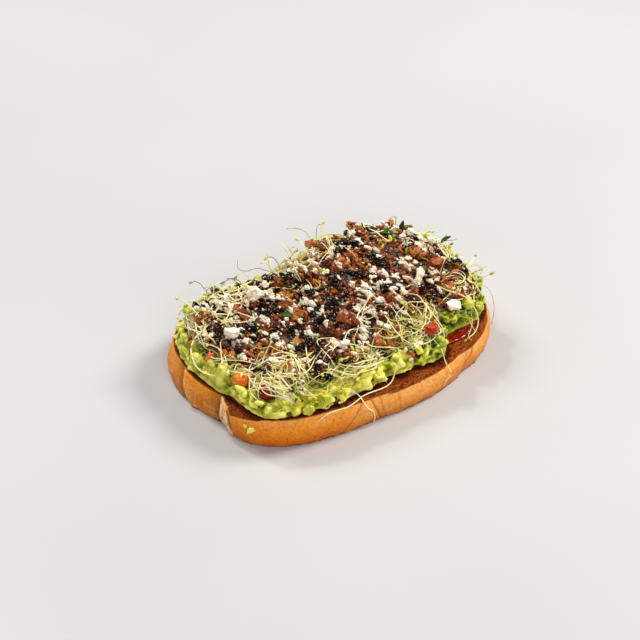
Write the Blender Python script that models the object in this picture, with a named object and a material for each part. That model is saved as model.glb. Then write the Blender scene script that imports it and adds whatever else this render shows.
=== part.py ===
"""Avocado toast on one thick slice of plaited loaf.

From the bottom up: the toasted slice with its lobed crust, a thin tomato spread, a lumpy avocado
mash, a heap of alfalfa sprouts, a crumb topping over the heap, and the larger pieces that lie in
them: tomato dice, avocado chunks, feta chunks and nut chunks.

The origin is the middle of the slice's flat underside. +X runs along the slice, +Z is up.
Angles are counted anticlockwise from +X, seen from above.
"""

from math import atan2, cos, hypot, pi, radians, sin, sqrt, tau

import bmesh
import bpy
from mathutils import Vector, noise

MM = 0.001

# Driving sizes.
SLICE_LENGTH = 154 * MM
SLICE_WIDTH = 107 * MM
SLICE_THICKNESS = 16 * MM
SPREAD_THICKNESS = 1.2 * MM
MASH_THICKNESS = 8 * MM
SPROUT_THICKNESS = 4 * MM
TOPPING_THICKNESS = 2.5 * MM
CLEARANCE = 0.3 * MM  # between two pieces that touch

# The slice's outline is a superellipse, rounder at one corner than at the others.
CORNER_SQUARENESS = 2.9
CORNER_SWING = 0.5
ROUNDEST_CORNER = radians(-35)

# The crust: where two lobes of the loaf meet and how deep the crease between them is, how far
# along a lobe it stands out most, and how much the creases lean along the side.
CREASES = (
    (radians(20), 2 * MM),
    (radians(76), 2.5 * MM),
    (radians(122), 2 * MM),
    (radians(167.5), 2 * MM),
    (radians(188.8), 6 * MM),
    (radians(258.5), 1.2 * MM),
    (radians(311.5), 3 * MM),
)
LOBE_PEAK = 0.36
CREASE_LEAN = radians(5)
SIDE_BULGE = 1.2 * MM
BASE_RADIUS = 1.5 * MM
RIM_RADIUS = 2.5 * MM
RIM_WIDTH = 2 * MM
RIM_HEIGHT = 0.8 * MM  # of the rim over the toasted face
SLICE_SEGMENTS = 96
CORNER_STEPS = 3
SIDE_STEPS = 3

FACE_Z = SLICE_THICKNESS - RIM_HEIGHT
SPREAD_Z = FACE_Z + CLEARANCE
MASH_Z = SPREAD_Z + SPREAD_THICKNESS + CLEARANCE

# The heaped layers share one pattern, a grid with rings round it, so that the facets of two that
# touch match.
GRID_CELLS = (17, 13)
EDGE_STEP = 2.5 * MM  # between an edge and the ring that rounds it
SPREAD_MARGIN = 5 * MM  # from the slice's outline to the spread's
MASH_MARGIN = 3.5 * MM  # from the slice's outline to the mash's
SPROUT_MARGIN = 6 * MM  # from the mash's outline to the sprouts'
TOPPING_MARGIN = 4.5 * MM  # from the sprouts' outline to the topping's

# How many of the shared rings each layer reaches over, counted from the middle.
MASH_RINGS = 8
SPROUT_RINGS = 5
TOPPING_RINGS = 2

# Where a layer's edge steps in (+) or out (-): direction, half width, depth.
MASH_STEPS = (
    (radians(172), radians(22), -2 * MM),
    (radians(196), radians(7), 3 * MM),
    (radians(213), radians(12), -4 * MM),
    (radians(260), radians(24), 1.5 * MM),
    (radians(281), radians(6), 5 * MM),
    (radians(315), radians(17), 7 * MM),
    (radians(343), radians(14), -1.5 * MM),
    (radians(97), radians(50), 6.5 * MM),
)
SPROUT_STEPS = (
    (radians(235), radians(100), 4 * MM),
    (radians(60), radians(90), -2.5 * MM),
    (radians(281), radians(10), -3 * MM),
)
TOPPING_STEPS = (
    (radians(225), radians(60), 2.5 * MM),
    (radians(60), radians(90), -1.5 * MM),
    (radians(303), radians(28), 12 * MM),
)

# How steeply a layer rises at its edge: the share of its thickness that it starts with, and how
# far in it reaches the whole.
MASH_EDGE = (0.45, 7 * MM)
SPROUT_EDGE = (0.35, 7 * MM)
TOPPING_EDGE = (0.4, 5 * MM)

# Unevenness of the layers' tops: height, spacing and seed.
MASH_LUMPS = (2.4 * MM, 15 * MM, 3.1)
SPROUT_LUMPS = (1.8 * MM, 13 * MM, 7.7)
TOPPING_LUMPS = (1.6 * MM, 14 * MM, 12.3)

# The mash is piled highest towards one corner.
CREST = Vector((42 * MM, 14 * MM))
CREST_REACH = 75 * MM
CREST_HEIGHT = 7 * MM

# The larger pieces: middle (x, y, z), size (x, y, z) and turn about Z.
TOMATO_DICE = (
    ((-64, -17.5, 25), (9, 6, 6), 20),
    ((-59.5, -32, 26), (7, 6.5, 6), 55),
    ((25, -41.5, 30), (5, 5, 5), 10),
)
AVOCADO_CHUNKS = (
    ((-39.5, -47, 23), (8, 7, 6.5), 0),
    ((-48, -48, 20.5), (6.5, 5.5, 5), 30),
)
FETA_CHUNKS = (
    ((-55.5, 5, 33.5), (8.5, 7, 6), 25),
    ((-31, 23, 35), (8, 8, 6.5), 70),
    ((43.5, -33.5, 31), (10, 6.5, 6), 115),
    ((40, -11.5, 37.5), (7.5, 6, 5), 200),
)
NUT_CHUNKS = (
    ((-45.5, 21, 33.5), (9.5, 6.5, 5.5), 150),
    ((-5.5, -13, 33.5), (8.5, 6.5, 5.5), 35),
    ((53.5, -6.5, 36.5), (7.5, 6.5, 5.5), 300),
    ((-1.5, -36, 30), (8, 6, 5.5), 80),
)
DICE_BEVEL = 0.8 * MM
CHUNK_ROUGHNESS = 0.16  # of a chunk's own size


def clear_scene():
    """Removes whatever is in the scene."""
    for obj in list(bpy.data.objects):
        bpy.data.objects.remove(obj, do_unlink=True)


def plain_material(name, colour, roughness):
    """A Principled BSDF of one colour. None of the food is metallic."""
    material = bpy.data.materials.new(name)
    material.use_nodes = True
    shader = material.node_tree.nodes["Principled BSDF"]
    shader.inputs["Base Color"].default_value = (*colour, 1)
    shader.inputs["Roughness"].default_value = roughness
    shader.inputs["Metallic"].default_value = 0
    return material


def add_object(name, bm, material):
    """Turns a finished bmesh into a named, smooth-shaded object."""
    bmesh.ops.recalc_face_normals(bm, faces=bm.faces)
    mesh = bpy.data.meshes.new(name)
    bm.to_mesh(mesh)
    bm.free()
    mesh.materials.append(material)
    mesh.shade_smooth()
    mesh.set_sharp_from_angle(angle=radians(50))
    obj = bpy.data.objects.new(name, mesh)
    bpy.context.scene.collection.objects.link(obj)
    return obj


def direction_of(point):
    """The angle of a point around the origin, from 0 to a full turn."""
    return atan2(point.y, point.x) % tau


def angle_between(a, b):
    """The angle from b to a, from minus half a turn to half a turn."""
    return (a - b + pi) % tau - pi


def extrude_rings(bm, rings, count):
    """Extrudes the last ring of vertices `count` times, in place, and adds the new rings."""
    last = set(rings[-1])
    edges = [edge for edge in bm.edges if last.issuperset(edge.verts)]
    for _ in range(count):
        made = bmesh.ops.extrude_edge_only(bm, edges=edges)["geom"]
        rings.append([item for item in made if isinstance(item, bmesh.types.BMVert)])
        last = set(rings[-1])
        edges = [
            item
            for item in made
            if isinstance(item, bmesh.types.BMEdge) and last.issuperset(item.verts)
        ]
    return edges


# --- the slice ---------------------------------------------------------------------------------


def oval_radius(angle):
    """The slice's outline without its creases, measured from its middle."""
    power = CORNER_SQUARENESS - CORNER_SWING * cos(angle - ROUNDEST_CORNER)
    along = abs(cos(angle) / (SLICE_LENGTH / 2)) ** power
    across = abs(sin(angle) / (SLICE_WIDTH / 2)) ** power
    return (along + across) ** (-1 / power)


def crease_depth(angle, lean):
    """How far the crust lies inside the oval here: most at a crease, nothing at a lobe's peak."""
    creases = [(place + lean, depth) for place, depth in CREASES]
    before = [(creases[-1][0] - tau, creases[-1][1])] + creases
    after = creases + [(creases[0][0] + tau, creases[0][1])]
    start, start_depth = [crease for crease in before if crease[0] <= angle][-1]
    end, end_depth = [crease for crease in after if crease[0] > angle][0]
    along = (angle - start) / (end - start)
    rise = LOBE_PEAK
    fall = 1 - LOBE_PEAK
    standing = (along / rise) ** rise * ((1 - along) / fall) ** fall
    return (start_depth + (end_depth - start_depth) * along) * (1 - standing)


def slice_radius(angle, lean):
    """The slice's outline where its creases lean by this angle."""
    return oval_radius(angle) - crease_depth(angle, lean)


def crust_profile():
    """The slice's side as (inset from the outline, height) pairs, from the base to the face."""
    profile = []
    for i in range(CORNER_STEPS):
        turn = pi / 2 * i / CORNER_STEPS
        profile.append((BASE_RADIUS * (1 - sin(turn)), BASE_RADIUS * (1 - cos(turn))))
    wall = SLICE_THICKNESS - BASE_RADIUS - RIM_RADIUS
    for i in range(SIDE_STEPS + 1):
        share = i / SIDE_STEPS
        profile.append((-SIDE_BULGE * sin(pi * share), BASE_RADIUS + wall * share))
    for i in range(1, CORNER_STEPS + 1):
        turn = pi / 2 * i / CORNER_STEPS
        inset = RIM_RADIUS * (1 - cos(turn))
        profile.append((inset, SLICE_THICKNESS - RIM_RADIUS * (1 - sin(turn))))
    profile.append((RIM_RADIUS + RIM_WIDTH / 2, SLICE_THICKNESS - RIM_HEIGHT / 2))
    profile.append((RIM_RADIUS + RIM_WIDTH, FACE_Z))
    return profile


def build_slice(material):
    """The slice: a ring extruded from the base up the crust and in over the rim."""
    profile = crust_profile()
    bm = bmesh.new()
    circle = bmesh.ops.create_circle(bm, segments=SLICE_SEGMENTS, radius=1)
    rings = [circle["verts"]]
    base_edges = bm.edges[:]
    face_edges = extrude_rings(bm, rings, len(profile) - 1)
    for ring, (inset, height) in zip(rings, profile):
        lean = CREASE_LEAN * (0.5 - height / SLICE_THICKNESS)
        for vert in ring:
            angle = direction_of(vert.co)
            radius = slice_radius(angle, lean) - inset
            vert.co = Vector((radius * cos(angle), radius * sin(angle), height))
    bmesh.ops.edgeloop_fill(bm, edges=base_edges)
    bmesh.ops.edgeloop_fill(bm, edges=face_edges)
    return add_object("bread_slice", bm, material)


# --- the layers on it --------------------------------------------------------------------------


def stepped(angle, steps):
    """The sum of an edge's steps in this direction."""
    total = 0.0
    for direction, half_width, depth in steps:
        off = abs(angle_between(angle, direction)) / half_width
        if off < 1:
            total += depth * (1 + cos(pi * off)) / 2
    return total


def spread_radius(angle):
    """The spread stays inside the rim, so it follows the creases too."""
    return slice_radius(angle, -CREASE_LEAN / 2) - SPREAD_MARGIN


def mash_radius(angle):
    """The mash hangs over the rim where its steps take it out."""
    return oval_radius(angle) - MASH_MARGIN - stepped(angle, MASH_STEPS)


def sprout_radius(angle):
    return mash_radius(angle) - SPROUT_MARGIN - stepped(angle, SPROUT_STEPS)


def topping_radius(angle):
    return sprout_radius(angle) - TOPPING_MARGIN - stepped(angle, TOPPING_STEPS)


def shared_rings(angle):
    """The radii of the rings that the heaped layers share, from the grid's outline outwards."""
    topping = topping_radius(angle)
    sprouts = sprout_radius(angle)
    mash = mash_radius(angle)
    return [
        topping - EDGE_STEP,
        topping,
        (topping + sprouts) / 2,
        sprouts - EDGE_STEP / 2,
        sprouts,
        mash - 2 * EDGE_STEP,
        mash - EDGE_STEP,
        mash,
    ]


def uneven(point, lumps):
    """Smooth unevenness of this height, with lumps about this far apart."""
    height, spacing, seed = lumps
    return height * noise.noise(Vector((point.x / spacing, point.y / spacing, seed)))


def risen(point, radius_at, edge):
    """The share of a layer's thickness that it has here: it is rounded off towards its outline."""
    start, reach = edge
    inset = radius_at(direction_of(point)) - hypot(point.x, point.y)
    short = 1 - min(max(inset / reach, 0), 1)
    return start + (1 - start) * sqrt(1 - short**2)


def mash_underside(point):
    return MASH_Z


def mash_top(point):
    crest = (1 - min((point.xy - CREST).length / CREST_REACH, 1) ** 2) ** 2
    thickness = MASH_THICKNESS + CREST_HEIGHT * crest + uneven(point, MASH_LUMPS)
    return MASH_Z + thickness * risen(point, mash_radius, MASH_EDGE)


def sprout_underside(point):
    return mash_top(point) + CLEARANCE


def sprout_top(point):
    thickness = SPROUT_THICKNESS + uneven(point, SPROUT_LUMPS)
    return sprout_underside(point) + thickness * risen(point, sprout_radius, SPROUT_EDGE)


def topping_underside(point):
    return sprout_top(point) + CLEARANCE


def topping_top(point):
    thickness = TOPPING_THICKNESS + uneven(point, TOPPING_LUMPS)
    return topping_underside(point) + thickness * risen(point, topping_radius, TOPPING_EDGE)


def flat_pattern(ring_count):
    """The shared pattern, flat: a grid drawn into the topping's shape, and rings round it."""
    bm = bmesh.new()
    bmesh.ops.create_grid(bm, x_segments=GRID_CELLS[0], y_segments=GRID_CELLS[1], size=1)
    rings = [[vert for vert in bm.verts if vert.is_boundary]]
    inner = [vert for vert in bm.verts if not vert.is_boundary]
    extrude_rings(bm, rings, ring_count - 1)
    numbered = [(vert, 0) for vert in inner]
    numbered += [(vert, number) for number, ring in enumerate(rings) for vert in ring]
    for vert, number in numbered:
        share = max(abs(vert.co.x), abs(vert.co.y))
        angle = atan2(vert.co.y * SLICE_WIDTH, vert.co.x * SLICE_LENGTH) % tau
        radius = share * shared_rings(angle)[number]
        vert.co = Vector((radius * cos(angle), radius * sin(angle), 0))
    bmesh.ops.triangulate(bm, faces=bm.faces, quad_method="FIXED")
    return bm


def build_heaped_layer(name, ring_count, bottom_at, top_at, material):
    """A layer of the heap. Its underside follows what it lies on, facet for facet."""
    bm = flat_pattern(ring_count)
    underside = bm.verts[:]
    extruded = bmesh.ops.extrude_face_region(bm, geom=bm.faces)["geom"]
    for item in extruded:
        if isinstance(item, bmesh.types.BMVert):
            item.co.z = top_at(item.co)
    for vert in underside:
        vert.co.z = bottom_at(vert.co)
    return add_object(name, bm, material)


def build_spread(material):
    """The spread: a thin flat disc, which shows wherever the mash stops short of it."""
    bm = bmesh.new()
    circle = bmesh.ops.create_circle(bm, cap_ends=True, segments=SLICE_SEGMENTS, radius=1)
    for vert in circle["verts"]:
        angle = direction_of(vert.co)
        radius = spread_radius(angle)
        vert.co = Vector((radius * cos(angle), radius * sin(angle), SPREAD_Z))
    extruded = bmesh.ops.extrude_face_region(bm, geom=bm.faces)["geom"]
    top = [item for item in extruded if isinstance(item, bmesh.types.BMVert)]
    bmesh.ops.translate(bm, vec=(0, 0, SPREAD_THICKNESS), verts=top)
    return add_object("tomato_spread", bm, material)


# --- the larger pieces -------------------------------------------------------------------------


def cube_piece(bm, size, grow):
    """A diced piece: a cube with bevelled edges."""
    bmesh.ops.create_cube(bm, size=1)
    bmesh.ops.scale(bm, vec=size + Vector((2, 2, 2)) * grow, verts=bm.verts)
    bmesh.ops.bevel(bm, geom=bm.edges, offset=DICE_BEVEL, segments=1, affect="EDGES")


def rough_piece(bm, size, grow):
    """A broken piece: a ball with its surface pushed in and out."""
    bmesh.ops.create_icosphere(bm, subdivisions=2, radius=0.5)
    for vert in bm.verts:
        vert.co *= 1 + CHUNK_ROUGHNESS * noise.noise(vert.co * 5 + size * 1000)
    bmesh.ops.scale(bm, vec=size + Vector((2, 2, 2)) * grow, verts=bm.verts)


def build_pieces(name, places, shape, material):
    """One object for each place. Returns the cutters, a little larger, for their pockets."""
    cutters = []
    for number, (middle, size, turn) in enumerate(places, 1):
        for suffix, grow in (("", 0), ("_pocket", CLEARANCE)):
            bm = bmesh.new()
            shape(bm, Vector(size) * MM, grow)
            piece = add_object(f"{name}_{number}{suffix}", bm, material)
            piece.location = Vector(middle) * MM
            piece.rotation_euler.z = radians(turn)
        piece.hide_render = True
        piece.display_type = "WIRE"
        cutters.append(piece)
    return cutters


def cut_pockets(layers, cutters):
    """Gives each layer a pocket wherever a larger piece lies in it."""
    for layer in layers:
        for cutter in cutters:
            modifier = layer.modifiers.new(cutter.name, "BOOLEAN")
            modifier.operation = "DIFFERENCE"
            modifier.solver = "EXACT"
            modifier.object = cutter


def main():
    clear_scene()
    bread = plain_material("toasted_bread", (0.62, 0.27, 0.07), 0.55)
    spread = plain_material("tomato_spread", (0.30, 0.02, 0.01), 0.25)
    mash = plain_material("avocado_mash", (0.40, 0.45, 0.07), 0.35)
    sprouts = plain_material("alfalfa_sprouts", (0.68, 0.62, 0.35), 0.45)
    topping = plain_material("crumb_topping", (0.16, 0.06, 0.02), 0.5)
    tomato = plain_material("tomato", (0.60, 0.06, 0.01), 0.25)
    feta = plain_material("feta", (0.85, 0.82, 0.74), 0.7)
    nut = plain_material("candied_nut", (0.42, 0.13, 0.03), 0.4)

    build_slice(bread)
    build_spread(spread)
    layers = [
        build_heaped_layer("avocado_mash", MASH_RINGS, mash_underside, mash_top, mash),
        build_heaped_layer("sprout_heap", SPROUT_RINGS, sprout_underside, sprout_top, sprouts),
        build_heaped_layer(
            "crumb_topping", TOPPING_RINGS, topping_underside, topping_top, topping
        ),
    ]
    cutters = build_pieces("tomato_dice", TOMATO_DICE, cube_piece, tomato)
    cutters += build_pieces("avocado_chunk", AVOCADO_CHUNKS, rough_piece, mash)
    cutters += build_pieces("feta_chunk", FETA_CHUNKS, rough_piece, feta)
    cutters += build_pieces("nut_chunk", NUT_CHUNKS, rough_piece, nut)
    cut_pockets(layers, cutters)


main()
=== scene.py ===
from math import atan2, cos, degrees, hypot, pi, radians, sin, tau

import bpy
import numpy as np
from mathutils import Euler, Matrix, Vector, noise
from mathutils.bvhtree import BVHTree
from mathutils.kdtree import KDTree


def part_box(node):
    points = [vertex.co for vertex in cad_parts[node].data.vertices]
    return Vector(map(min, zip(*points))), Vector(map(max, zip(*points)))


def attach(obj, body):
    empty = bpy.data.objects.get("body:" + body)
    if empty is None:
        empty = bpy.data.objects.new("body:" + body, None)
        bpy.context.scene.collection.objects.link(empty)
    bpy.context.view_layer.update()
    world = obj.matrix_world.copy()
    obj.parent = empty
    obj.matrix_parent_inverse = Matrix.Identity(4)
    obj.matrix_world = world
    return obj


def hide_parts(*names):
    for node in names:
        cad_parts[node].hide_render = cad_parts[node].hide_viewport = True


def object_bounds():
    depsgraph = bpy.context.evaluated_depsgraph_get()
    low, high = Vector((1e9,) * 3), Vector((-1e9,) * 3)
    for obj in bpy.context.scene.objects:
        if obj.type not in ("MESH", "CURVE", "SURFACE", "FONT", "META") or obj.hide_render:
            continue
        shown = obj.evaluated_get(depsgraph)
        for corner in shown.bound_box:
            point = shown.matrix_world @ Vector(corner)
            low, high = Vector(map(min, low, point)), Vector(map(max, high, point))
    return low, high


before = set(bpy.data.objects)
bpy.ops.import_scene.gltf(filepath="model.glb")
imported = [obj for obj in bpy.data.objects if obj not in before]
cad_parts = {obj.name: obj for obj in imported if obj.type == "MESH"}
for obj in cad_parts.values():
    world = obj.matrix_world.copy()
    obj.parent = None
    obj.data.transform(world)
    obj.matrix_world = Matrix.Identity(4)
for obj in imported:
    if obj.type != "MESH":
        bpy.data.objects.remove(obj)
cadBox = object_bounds()
mm = 0.001


# general helpers

def hexColour(code):
    # sRGB hex to the linear values that Blender's colour sockets take
    channels = [int(code[i:i + 2], 16) / 255 for i in (1, 3, 5)]
    linear = [c / 12.92 if c <= 0.04045 else ((c + 0.055) / 1.055) ** 2.4 for c in channels]
    return (*linear, 1)


def setInputs(tree, node, inputs):
    # a socket is linked, a hex code is set as its colour, and any other value is set as it is
    for name, value in inputs.items():
        if isinstance(value, bpy.types.NodeSocket):
            tree.links.new(value, node.inputs[name])
        else:
            node.inputs[name].default_value = hexColour(value) if isinstance(value, str) else value


def addNode(tree, kind, inputs={}, stops=(), out=0, **settings):
    # adds a node with its settings, its inputs and a ramp's stops, and hands back one of its outputs
    node = tree.nodes.new("ShaderNode" + kind)
    for name, value in settings.items():
        setattr(node, name, value)
    setInputs(tree, node, inputs)
    for number, (place, colour) in enumerate(stops):
        elements = node.color_ramp.elements
        stop = elements[number] if number < 2 else elements.new(place)
        stop.position = place
        stop.color = hexColour(colour) if isinstance(colour, str) else (colour, colour, colour, 1)
    return node.outputs[out]


colourMix = {"data_type": "RGBA", "out": 2}  # a Mix node for colours, and its colour output


def newMaterial(name, **uniform):
    # a Principled material; the values that are the same all over go on its own sockets
    material = bpy.data.materials.new(name)
    material.use_nodes = True
    shader = material.node_tree.nodes["Principled BSDF"]
    for socket, value in uniform.items():
        shader.inputs[socket.replace("_", " ")].default_value = value
    return material, material.node_tree, shader


def mottledMaterial(name, grain, shares, stops, bump=None, **uniform):
    # its colour follows noise: grain is the noise's size in mm (10 over how many cells lie in 10 mm),
    # detail, roughness and share, shares are what the piece's own values add, and bump is how strong
    # and how deep in mm its relief is
    material, tree, shader = newMaterial(name, **uniform)
    size, detail, roughness, grainShare = grain
    coords = addNode(tree, "TexCoord", out="Object")
    noisy = addNode(tree, "TexNoise", {
        "Vector": coords, "Scale": 1 / (size * mm), "Detail": detail, "Roughness": roughness})
    level = addNode(tree, "Math", {0: noisy, 1: grainShare}, operation="MULTIPLY")
    for painted, share in shares.items():
        value = addNode(tree, "Attribute", out="Fac", attribute_name=painted)
        level = addNode(tree, "Math", {0: value, 1: share, 2: level}, operation="MULTIPLY_ADD")
    setInputs(tree, shader, {"Base Color": addNode(tree, "ValToRGB", {"Fac": level}, stops)})
    if bump:
        relief = addNode(tree, "Bump", {"Height": noisy, "Strength": bump[0], "Distance": bump[1] * mm})
        setInputs(tree, shader, {"Normal": relief})
    return material


def selectOnly(piece):
    bpy.ops.object.select_all(action="DESELECT")
    piece.select_set(True)
    bpy.context.view_layer.objects.active = piece


def applyModifier(piece, kind, **settings):
    modifier = piece.modifiers.new(kind, kind)
    for name, value in settings.items():
        setattr(modifier, name, value)
    selectOnly(piece)
    bpy.ops.object.modifier_apply(modifier=modifier.name)


def cadCopy(node, name):
    # a CAD node's shape as a new piece; its loose triangles are merged into one skin
    piece = bpy.data.objects.new(name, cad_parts[node].data.copy())
    piece.data.materials.clear()
    bpy.context.scene.collection.objects.link(piece)
    selectOnly(piece)
    bpy.ops.object.mode_set(mode="EDIT")
    bpy.ops.mesh.select_all(action="SELECT")
    bpy.ops.mesh.remove_doubles(threshold=0.01 * mm)
    bpy.ops.object.mode_set(mode="OBJECT")
    return piece


def remesh(piece, voxel):
    applyModifier(piece, "REMESH", mode="VOXEL", voxel_size=voxel, use_smooth_shade=True)


def pointsOf(piece, what="co"):
    values = np.empty(len(piece.data.vertices) * 3, np.float32)
    piece.data.vertices.foreach_get(what, values)
    return values.reshape(-1, 3).astype(float)


def movePoints(piece, points):
    piece.data.vertices.foreach_set("co", points.astype(np.float32).ravel())
    piece.data.update()


def pieceFrom(name, points, faces):
    mesh = bpy.data.meshes.new(name)
    mesh.from_pydata(points, [], faces)
    piece = bpy.data.objects.new(name, mesh)
    bpy.context.scene.collection.objects.link(piece)
    return piece


def paint(piece, **painted):
    # values for each point, which the material reads by their names
    for name, values in painted.items():
        layer = piece.data.attributes.new(name, "FLOAT", "POINT")
        values = values + np.zeros(len(piece.data.vertices))
        layer.data.foreach_set("value", np.clip(values, 0, 1).astype(np.float32))


def noiseAt(points, size, seed=0.0):
    # smooth noise from -1 to 1 with lumps about this far apart
    shift = Vector((seed, seed * 1.7, -seed))
    return np.array([noise.noise(Vector(p) + shift) for p in points / size])


def cellsAt(points, size, seed=0.0):
    # distance to the nearest and to the second nearest of random points about this far apart
    shift = Vector((seed, -seed, seed * 1.3))
    found = [noise.voronoi(Vector(p) + shift)[0][:2] for p in points / size]
    return np.array(found).T


def ease(values, low, high):
    # 0 below low, 1 above high, smooth between
    share = np.clip((values - low) / (high - low), 0, 1)
    return share * share * (3 - 2 * share)


def ridge(off, width):
    # 1 in the middle, falling off to both sides
    return np.exp(-(off / width) ** 2)


def polar(points):
    # direction and distance from the middle, seen from above
    return np.arctan2(points[:, 1], points[:, 0]), np.hypot(points[:, 0], points[:, 1])


def angleFrom(angles, direction):
    # signed angle from a direction in degrees, in radians
    return (angles - np.radians(direction) + pi) % tau - pi


def near(angles, direction, inner, outer):
    # 1 within the inner angle of a direction, 0 beyond the outer one, smooth between, in degrees
    return ease(np.abs(angleFrom(angles, direction)), radians(outer), radians(inner))


def hump(angles, direction, halfWidth):
    # 1 in this direction, falling off in a wave to 0 at the half width, in degrees
    off = np.clip(np.abs(angleFrom(angles, direction)) / radians(halfWidth), 0, 1)
    return (1 + np.cos(pi * off)) / 2


def standOut(piece, steps, size):
    # how far each point stands out of its surroundings: 1 on a ridge, 0 in a hollow this deep
    points = pointsOf(piece)
    edges = np.empty(len(piece.data.edges) * 2, np.int32)
    piece.data.edges.foreach_get("vertices", edges)
    ends = np.concatenate((edges[0::2], edges[1::2]))
    others = np.concatenate((edges[1::2], edges[0::2]))
    count = np.bincount(ends, minlength=len(points))
    level = points
    for _ in range(steps):
        sums = [np.bincount(ends, level[others, k], len(points)) for k in range(3)]
        level = np.stack(sums, 1) / count[:, None]
    return 0.5 + np.einsum("ij,ij->i", points - level, pointsOf(piece, "normal")) / size


def plainUnderside(piece, level):
    # flat underneath at this height, in fewer and larger faces, as nobody sees it
    points = pointsOf(piece)
    points[:, 2] = np.where(points[:, 2] < level + 0.3 * mm, level, points[:, 2])
    movePoints(piece, points)
    low = points[:, 2] <= level
    group = piece.vertex_groups.new(name="underneath")
    group.add([int(number) for number in np.flatnonzero(low)], 1.0, "REPLACE")
    share = np.mean([all(low[corner] for corner in face.vertices) for face in piece.data.polygons])
    ratio = 1 - 0.93 * share  # of the faces underneath, few stay
    applyModifier(piece, "DECIMATE", ratio=ratio, vertex_group="underneath", vertex_group_factor=1000)
    piece.vertex_groups.clear()


def finishPiece(piece, material, slotName, *replaced):
    # smooth-shaded, with its material, on the one body
    piece.data.materials.clear()
    piece.data.materials.append(material)
    selectOnly(piece)
    bpy.ops.object.shade_smooth()
    if replaced:
        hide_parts(*replaced)
    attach(piece, "root")
    print(f"{piece.name}: {len(piece.data.polygons)} faces")
    return piece


# camera, light and floor

studio = {
    "cameraPlace": (-0.4145, -0.5966, 0.5661),
    "cameraTarget": (-0.0047, 0.0071, 0.0175),
    "lens": 107.7,
    "floorSize": 4.0,
    "floorColours": ("#B8B8B8", "#BEBEBE"),
    # azimuth from +X and elevation in degrees, distance and size in metres, power in watts
    "lights": {
        "keySoftbox": (-12, 44, 1.5, 0.5, 22.0, "#FFFBF5"),
        "backSoftbox": (108, 45, 1.7, 0.7, 16.0, "#FFFFFF"),
        "frontFill": (248, 36, 1.8, 1.0, 17.0, "#FFFBF5"),
        "smallLamp": (95, 52, 1.6, 0.12, 5.0, "#FFFDF8"),  # for crisp glints on what is wet
    },
    "skyColour": "#F4F5F7",
    "skyStrength": 0.25,
}


def buildStudio():
    scene = bpy.context.scene
    scene.view_settings.view_transform = "Standard"
    target = Vector(studio["cameraTarget"])
    place = Vector(studio["cameraPlace"])
    bpy.ops.object.camera_add(location=place)
    camera = bpy.context.object
    camera.rotation_euler = (target - place).to_track_quat("-Z", "Y").to_euler()
    camera.data.lens = studio["lens"]
    camera.data.sensor_width = 36
    camera.data.clip_start = 0.01
    scene.camera = camera
    for name, (azimuth, elevation, distance, size, power, colour) in studio["lights"].items():
        turn = Euler((0, radians(-elevation), radians(azimuth))).to_matrix()
        spot = target + turn @ Vector((distance, 0, 0))
        bpy.ops.object.light_add(type="AREA", location=spot)
        light = bpy.context.object
        light.name = name
        light.rotation_euler = (target - spot).to_track_quat("-Z", "Y").to_euler()
        light.data.shape = "SQUARE"
        light.data.size = size
        light.data.energy = power
        light.data.color = hexColour(colour)[:3]
    world = bpy.data.worlds.new("paleRoom")
    world.use_nodes = True
    scene.world = world
    sky = world.node_tree.nodes["Background"]
    sky.inputs["Color"].default_value = hexColour(studio["skyColour"])
    sky.inputs["Strength"].default_value = studio["skyStrength"]
    bpy.ops.mesh.primitive_plane_add(size=studio["floorSize"], location=(0, 0, 0))
    floor = bpy.context.object
    floor.name = "floor"
    # satin paint, smooth and even: a soft sheen with hardly any mottling
    dark, light = studio["floorColours"]
    material = mottledMaterial(
        "satin painted table top", (250, 2, 0.5, 1), {}, ((0.3, dark), (0.7, light)),
        Roughness=0.38, Specular_IOR_Level=0.35)
    floor.data.materials.append(material)
    print("studio set")


# the slice

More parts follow.
